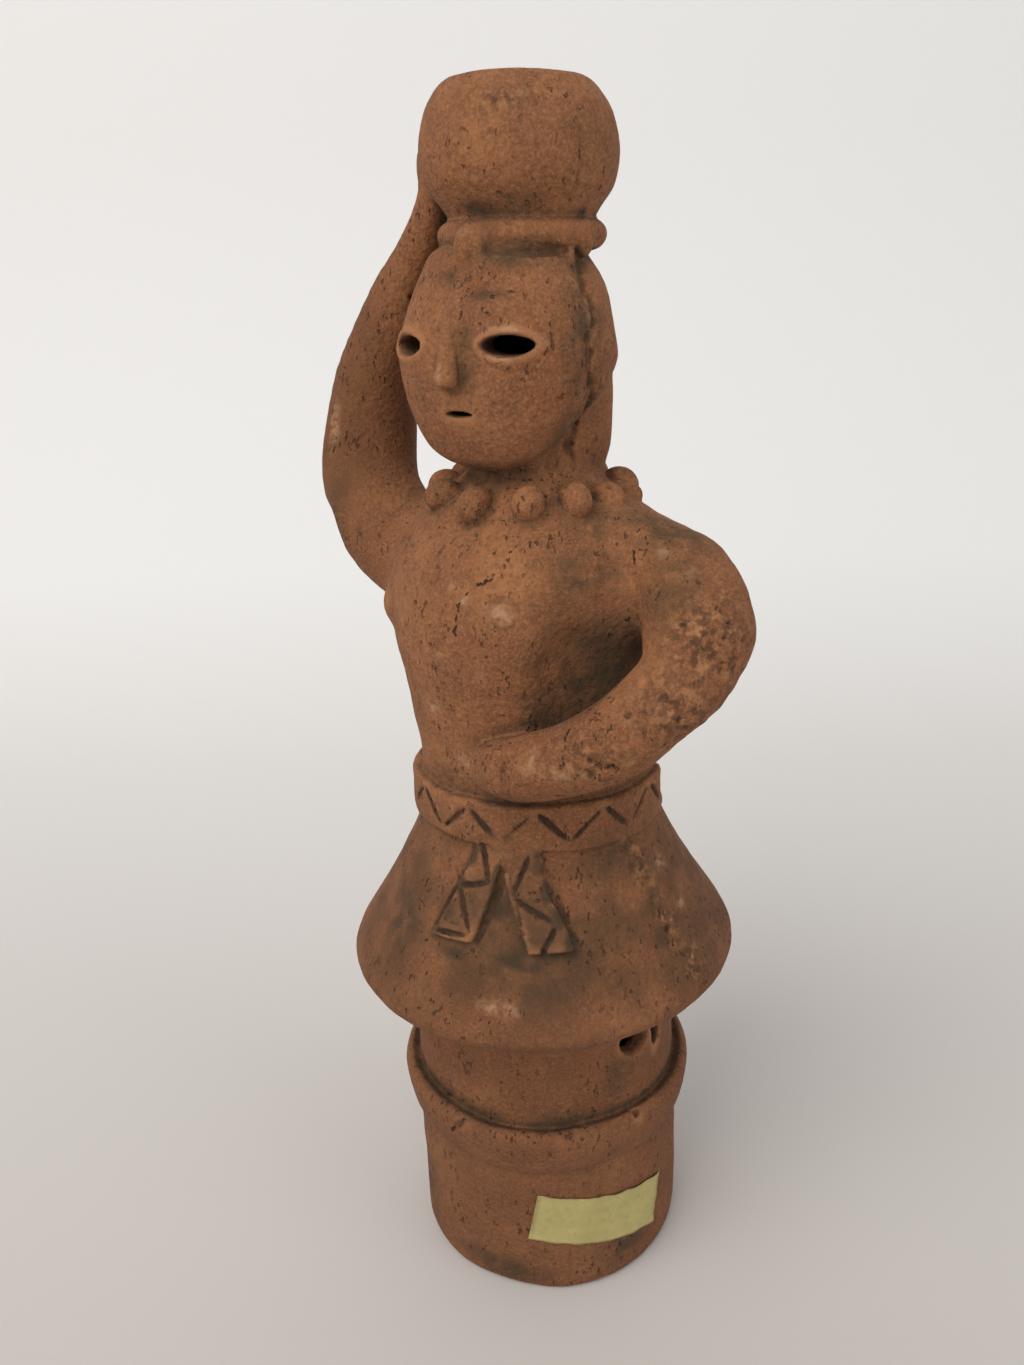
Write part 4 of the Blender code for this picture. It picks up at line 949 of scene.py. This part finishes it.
# The clay fires to an uneven orange brown. Its hollows and creases are darkened with painted
# shade and some grey-green dirt, the crests are lighter with a painted highlight and rubbed wear,
# and fine upright strokes of the wiping cloth show all over.
patches, given, made = start_tree(
    "patches", "ShaderNodeTree",
    {"Vector": "Vector", "Size": 0.01, "Threshold": 0.5, "Softness": 0.1, "Detail": 3.0, "Seed": 0.0},
    "Mask", "Float",
)
scale = calc(patches, "DIVIDE", 1.0, given["Size"])
noise = put(
    patches, "ShaderNodeTexNoise",
    {"Vector": given["Vector"], "W": given["Seed"], "Scale": scale, "Detail": given["Detail"]},
    noise_dimensions="4D",
)
low = calc(patches, "SUBTRACT", given["Threshold"], given["Softness"])
high = calc(patches, "ADD", given["Threshold"], given["Softness"])
patches.links.new(ranged(patches, noise, low, high), made)

hairline, given, made = start_tree(
    "hairline crack", "ShaderNodeTree",
    {"Vector": "Vector", "Start": "Vector", "End": "Vector", "Width": 0.0003}, "Mask", "Float",
)
run = vector_calc(hairline, "SUBTRACT", given["End"], given["Start"])
to = vector_calc(hairline, "SUBTRACT", given["Vector"], given["Start"])
dot = vector_calc(hairline, "DOT_PRODUCT", to, run).outputs["Value"]
own = vector_calc(hairline, "DOT_PRODUCT", run, run).outputs["Value"]
nearest = vector_calc(hairline, "SCALE", run, calc(hairline, "DIVIDE", dot, own, use_clamp=True))
away = vector_calc(hairline, "DISTANCE", to, nearest).outputs["Value"]
half = calc(hairline, "MULTIPLY", given["Width"], 0.35)
hairline.links.new(ranged(hairline, away, half, given["Width"], 1.0, 0.0), made)

terracotta = bpy.data.materials.new("terracotta")
terracotta.use_nodes = True
tree = terracotta.node_tree
shader = tree.nodes["Principled BSDF"]
where = put(tree, "ShaderNodeTexCoord").outputs["Object"]


def times(a, b):
    """Two numbers multiplied in the tree that is being made."""
    return calc(tree, "MULTIPLY", a, b).outputs[0]


def mixed(share, under, over):
    """One colour laid over another by a share."""
    return put(tree, "ShaderNodeMix", {0: share, 6: under, 7: over}, data_type="RGBA").outputs[2]


def mark(name):
    """The number that the mesh carries under this name."""
    return put(tree, "ShaderNodeAttribute", attribute_name=name).outputs["Fac"]


def patch(size, threshold, softness, detail=3.0, seed=0.0, vector=where):
    """1 in soft-edged patches about this size in metres, and 0 between them."""
    values = {"Vector": vector, "Size": size, "Threshold": threshold, "Softness": softness}
    values.update({"Detail": detail, "Seed": seed})
    return put(tree, "ShaderNodeGroup", values, node_tree=patches).outputs[0]


CRACKS = (
    ((8.7, -22.7, 159.6), (5.4, -24.6, 157.3), (2.4, -26.0, 154.3), (2.2, -26.8, 148.5)),
    ((27.3, -7.2, 162.7), (28.1, -8.1, 160.8), (27.0, -9.1, 156.8), (26.5, -9.2, 155.1), (26.7, -9.2, 150.9)),
    ((25.2, -25.0, 134.9), (25.5, -26.8, 132.8), (25.9, -28.1, 129.9)),
    ((-2.7, -31.4, 38.8), (-1.0, -31.8, 41.4), (0.8, -31.5, 44.1)),
)
CRACK_WIDTH = 0.00035
jagged = put(tree, "ShaderNodeTexNoise", {"Vector": where, "Scale": 500.0, "Detail": 4.0})
jag = vector_calc(tree, "SUBTRACT", jagged.outputs["Color"], (0.5, 0.5, 0.5))
torn = vector_calc(tree, "ADD", where, vector_calc(tree, "SCALE", jag, 0.0026))
cracks = None
for line in CRACKS:
    for start, end in zip(line, line[1:]):
        ends = {"Start": [v * MM for v in start], "End": [v * MM for v in end]}
        found = put(
            tree, "ShaderNodeGroup", {"Vector": torn, "Width": CRACK_WIDTH, **ends}, node_tree=hairline
        ).outputs[0]
        cracks = found if cracks is None else calc(tree, "MAXIMUM", cracks, found)
cracks = times(cracks, patch(0.003, 0.36, 0.06, seed=15.0))
# The cracks are drawn dark, and the incised strokes are darkened as painted shade in the cuts.
cracks_and_cut_shade = calc(tree, "MAXIMUM", cracks, times(mark("incised"), 0.75))

upright = put(tree, "ShaderNodeMapping", {"Vector": where, "Scale": (1.0, 1.0, 0.16)})
long_pits = put(tree, "ShaderNodeMapping", {"Vector": where, "Scale": (1.0, 1.0, 0.5)})
speck = times(patch(0.0009, 0.67, 0.035, 2.0, 14.0, long_pits), patch(0.012, 0.5, 0.1, 3.0, 16.0))
place = put(tree, "ShaderNodeSeparateXYZ", {0: where})
height = place.outputs["Z"]
lower_half = ranged(tree, height, 0.125, 0.095, 0.0, 0.36)
# Painted shade: the raised arm is painted darker.
raised_arm_shade = times(
    ranged(tree, place.outputs["X"], -0.022, -0.036, 0.0, 0.55), ranged(tree, height, 0.152, 0.170)
)
skirt_band = times(ranged(tree, height, 0.070, 0.080, 0.0, 0.62), ranged(tree, height, 0.112, 0.098))
# Painted shade, with some dirt, in the hollows marked above.
hollow_shade_and_dirt_mask = times(ranged(tree, mark("hollow_shade_and_dirt"), 0.16, 0.55), patch(0.004, 0.36, 0.2, seed=11.0))
colour = mixed(patch(0.020, 0.5, 0.14), (0.208, 0.077, 0.0285, 1), (0.325, 0.134, 0.0525, 1))
for share, tint in (
    (times(patch(0.007, 0.54, 0.12, 4.0, 3.0), 0.6), (0.150, 0.062, 0.028)),
    (times(patch(0.0009, 0.54, 0.12, 4.0, 5.0), 0.50), (0.120, 0.048, 0.022)),
    (times(patch(0.0005, 0.56, 0.10, 3.0, 6.0), 0.42), (0.400, 0.190, 0.095)),
    (times(patch(0.0009, 0.58, 0.08, 2.0, 7.0, upright), 0.20), (0.095, 0.040, 0.020)),
    (lower_half, (0.120, 0.050, 0.025)),
    # Painted shade on the raised arm.
    (raised_arm_shade, (0.110, 0.044, 0.019)),
    (times(skirt_band, patch(0.008, 0.50, 0.10, 7.0, 8.0)), (0.078, 0.042, 0.020)),
    # Painted highlight and rubbed wear on the crests.
    (ranged(tree, mark("crest_wear_and_highlight"), 0.15, 0.6, 0.0, 0.62), (0.380, 0.165, 0.072)),
    (times(times(mark("pale"), patch(0.0016, 0.50, 0.12, seed=9.0)), 0.75), (0.460, 0.270, 0.150)),
    (times(times(mark("pitted"), patch(0.0019, 0.55, 0.04, 9.0, 20.0)), 0.6), (0.420, 0.205, 0.090)),
    (times(times(mark("pitted"), patch(0.0016, 0.52, 0.04, 9.0, 10.0)), 0.75), (0.070, 0.034, 0.018)),
    # Painted shade and dirt in the hollows.
    (times(hollow_shade_and_dirt_mask, 0.85), (0.046, 0.029, 0.016)),
    # Soot smudges, part of them painted shade.
    (times(times(mark("soot_and_shade"), patch(0.0036, 0.44, 0.13, 8.0, 12.0)), 0.80), (0.056, 0.036, 0.018)),
    (times(speck, 0.6), (0.075, 0.034, 0.017)),
    # Dark cracks, and painted shade in the incised strokes.
    (times(cracks_and_cut_shade, 0.9), (0.030, 0.016, 0.009)),
):
    colour = mixed(share, colour, (*tint, 1))
tree.links.new(colour, shader.inputs["Base Color"])
tree.links.new(ranged(tree, mark("crest_wear_and_highlight"), 0.0, 1.0, 0.93, 0.78), shader.inputs["Roughness"])
shader.inputs["Specular IOR Level"].default_value = 0.3

fine = put(tree, "ShaderNodeTexNoise", {"Vector": where, "Scale": 850.0, "Detail": 5.0})
wiped = put(tree, "ShaderNodeTexNoise", {"Vector": where, "Scale": 260.0, "Detail": 8.0})
grain = times(calc(tree, "ADD", fine, wiped), 0.5)
relief = calc(tree, "SUBTRACT", grain, calc(tree, "MAXIMUM", speck, cracks))
bump = put(tree, "ShaderNodeBump", {"Height": relief, "Strength": 1.0, "Distance": 0.0010})
tree.links.new(bump.outputs[0], shader.inputs["Normal"])
mesh.materials.clear()
mesh.materials.append(terracotta)
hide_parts("haniwa_figure")
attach(figure, "root")

# Sticker
# A small blank paper label is stuck aslant round the drum. Its corners have begun to lift, and its
# edges and creases have taken up dirt.
STICKER_ARC, STICKER_HEIGHT = 31.4, 12.2
STICKER_RADIUS = DRUM_RADIUS + 0.3
STICKER_ANGLE, STICKER_LEVEL, STICKER_TILT = 58, 17.9, -11
PAPER_THICKNESS = 0.00016
body = bmesh.new()
bmesh.ops.create_grid(body, x_segments=64, y_segments=24, size=0.5)
layer = body.loops.layers.uv.new("paper")
for piece in body.faces:
    for loop in piece.loops:
        loop[layer].uv = (loop.vert.co.x + 0.5, loop.vert.co.y + 0.5)
tilt = Matrix.Rotation(math.radians(STICKER_TILT), 2)
for vertex in body.verts:
    u, v = vertex.co.x, vertex.co.y
    curl = max(0.0, abs(u) + abs(v) - 0.86) * 2.2
    ripple = 0.05 * math.sin(40 * u + 9 * v) + 0.04 * math.sin(23 * v + 1)
    ragged = 0.12 * math.sin(31 * u + 3) if abs(v) > 0.49 else 0.0
    run = tilt @ Vector((u * STICKER_ARC, v * STICKER_HEIGHT + ragged))
    radius = STICKER_RADIUS + 0.45 * curl + 0.08 + ripple
    angle = STICKER_ANGLE + math.degrees(run.x / STICKER_RADIUS)
    vertex.co = Vector(around(angle, radius, STICKER_LEVEL + run.y)) * MM
bmesh.ops.recalc_face_normals(body, faces=body.faces)
mesh = bpy.data.meshes.new("paper_label")
body.to_mesh(mesh)
body.free()
if mesh.polygons[0].normal.dot(mesh.polygons[0].center) < 0:
    mesh.flip_normals()
label = in_scene("paper_label", mesh)
thick = label.modifiers.new("thick", "SOLIDIFY")
thick.thickness = PAPER_THICKNESS
thick.offset = 0.0
mesh.shade_smooth()

paper = bpy.data.materials.new("paper")
paper.use_nodes = True
tree = paper.node_tree
shader = tree.nodes["Principled BSDF"]
where = put(tree, "ShaderNodeTexCoord").outputs["Object"]
uv = put(tree, "ShaderNodeUVMap", uv_map="paper")
flat = vector_calc(tree, "SUBTRACT", uv, (0.5, 0.5, 0.0))
flat = put(tree, "ShaderNodeVectorMath", {0: flat}, operation="ABSOLUTE")
flat = put(tree, "ShaderNodeSeparateXYZ", {0: flat})
rim = ranged(tree, calc(tree, "MAXIMUM", flat.outputs[0], flat.outputs[1]), 0.46, 0.5)
rim = times(rim, patch(0.002, 0.45, 0.15, 3.0, 6.0, where))
colour = mixed(patch(0.006, 0.5, 0.2, 3.0, 2.0, where), (0.463, 0.396, 0.147, 1), (0.392, 0.326, 0.118, 1))
colour = mixed(times(patch(0.0014, 0.60, 0.08, 3.0, 4.0, where), 0.22), colour, (0.230, 0.170, 0.075, 1))
colour = mixed(times(rim, 0.7), colour, (0.130, 0.085, 0.040, 1))
tree.links.new(colour, shader.inputs["Base Color"])
shader.inputs["Roughness"].default_value = 0.62
fibres = put(tree, "ShaderNodeTexNoise", {"Vector": where, "Scale": 1800.0, "Detail": 4.0})
bump = put(tree, "ShaderNodeBump", {"Height": fibres, "Strength": 0.4, "Distance": 0.0001})
tree.links.new(bump.outputs[0], shader.inputs["Normal"])
mesh.materials.append(paper)
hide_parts("paper_sticker")
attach(label, "root")

# Floor, lights and camera
# A pale sheet runs from the table up behind her, painted darker in front and lighter further back
# and up as painted shade and light. One large soft light stands at the upper left and a weaker one
# at the right, and the camera looks down on her from the front left.
VIEW_TURN = math.radians(36)
BEND_START, BEND_RADIUS, BEND_STEPS = 0.25, 0.3, 20
spin = Matrix.Rotation(VIEW_TURN, 3, "Z")
sheet = [(-0.9, 0.0), (BEND_START, 0.0)]
for number in range(1, BEND_STEPS + 1):
    bend = number * math.pi / (2 * BEND_STEPS)
    sheet.append((BEND_START + BEND_RADIUS * math.sin(bend), BEND_RADIUS - BEND_RADIUS * math.cos(bend)))
sheet.append((0.55, 1.5))
body = bmesh.new()
rows = [[body.verts.new((side, back, up)) for back, up in sheet] for side in (-1.6, 1.6)]
for number in range(len(sheet) - 1):
    body.faces.new((rows[0][number], rows[1][number], rows[1][number + 1], rows[0][number + 1]))
bmesh.ops.recalc_face_normals(body, faces=body.faces)
bmesh.ops.rotate(body, verts=body.verts, cent=(0, 0, 0), matrix=spin)
mesh = bpy.data.meshes.new("backdrop")
body.to_mesh(mesh)
body.free()
mesh.shade_smooth()
backdrop = in_scene("backdrop", mesh)
sheet_paint = bpy.data.materials.new("pale backdrop")
sheet_paint.use_nodes = True
tree = sheet_paint.node_tree
shader = tree.nodes["Principled BSDF"]
where = put(tree, "ShaderNodeTexCoord").outputs["Object"]
# Painted shade and light: the sheet is painted darker at the front and lighter as it runs back and up.
away_and_up = (-math.sin(VIEW_TURN), math.cos(VIEW_TURN), 0.6)
rise = vector_calc(tree, "DOT_PRODUCT", where, away_and_up).outputs["Value"]
colour = mixed(ranged(tree, rise, -0.05, 0.45), (0.56, 0.525, 0.50, 1), (0.84, 0.837, 0.830, 1))
tree.links.new(colour, shader.inputs["Base Color"])
shader.inputs["Roughness"].default_value = 0.9
mesh.materials.append(sheet_paint)

world = bpy.data.worlds.new("studio")
bpy.context.scene.world = world
world.use_nodes = True
world.node_tree.nodes["Background"].inputs["Color"].default_value = (1.0, 0.99, 0.98, 1)
world.node_tree.nodes["Background"].inputs["Strength"].default_value = 0.56
FIGURE_MIDDLE = Vector((0, 0, 0.13))
for name, place, size, power, colour in (
    ("key", (-0.55, -0.60, 0.95), 0.95, 9.0, (1.0, 0.97, 0.93)),
    ("fill", (0.8, -0.5, 0.35), 0.6, 1.8, (0.94, 0.97, 1.0)),
):
    lamp = bpy.data.lights.new(name, "AREA")
    lamp.size = size
    lamp.energy = power
    lamp.color = colour
    made = in_scene(name, lamp)
    made.location = spin @ Vector(place)
    made.rotation_euler = (FIGURE_MIDDLE - spin @ Vector(place)).to_track_quat("-Z", "Y").to_euler()

PITCH, YAW, ROLL = math.radians(20), math.radians(-1.3), math.radians(2.2)
CAMERA_PLACE = Vector((0, -0.211, 0.208))
FOCAL_PIXELS, FRAME_PIXELS, SENSOR_WIDTH = 1104, 1365, 36
ahead = Vector((math.sin(YAW) * math.cos(PITCH), math.cos(YAW) * math.cos(PITCH), -math.sin(PITCH)))
right = Vector((math.cos(YAW), -math.sin(YAW), 0))
up = right.cross(ahead)
level_right = math.cos(ROLL) * right - math.sin(ROLL) * up
level_up = math.sin(ROLL) * right + math.cos(ROLL) * up
axes = Matrix((spin @ level_right, spin @ level_up, spin @ -ahead)).transposed()
lens = bpy.data.cameras.new("camera")
lens.sensor_width = SENSOR_WIDTH
lens.lens = SENSOR_WIDTH * FOCAL_PIXELS / FRAME_PIXELS
lens.clip_start = 0.005
camera = in_scene("camera", lens)
camera.matrix_world = Matrix.Translation(spin @ CAMERA_PLACE) @ axes.to_4x4()
bpy.context.scene.camera = camera
bpy.context.scene.view_settings.view_transform = "Standard"
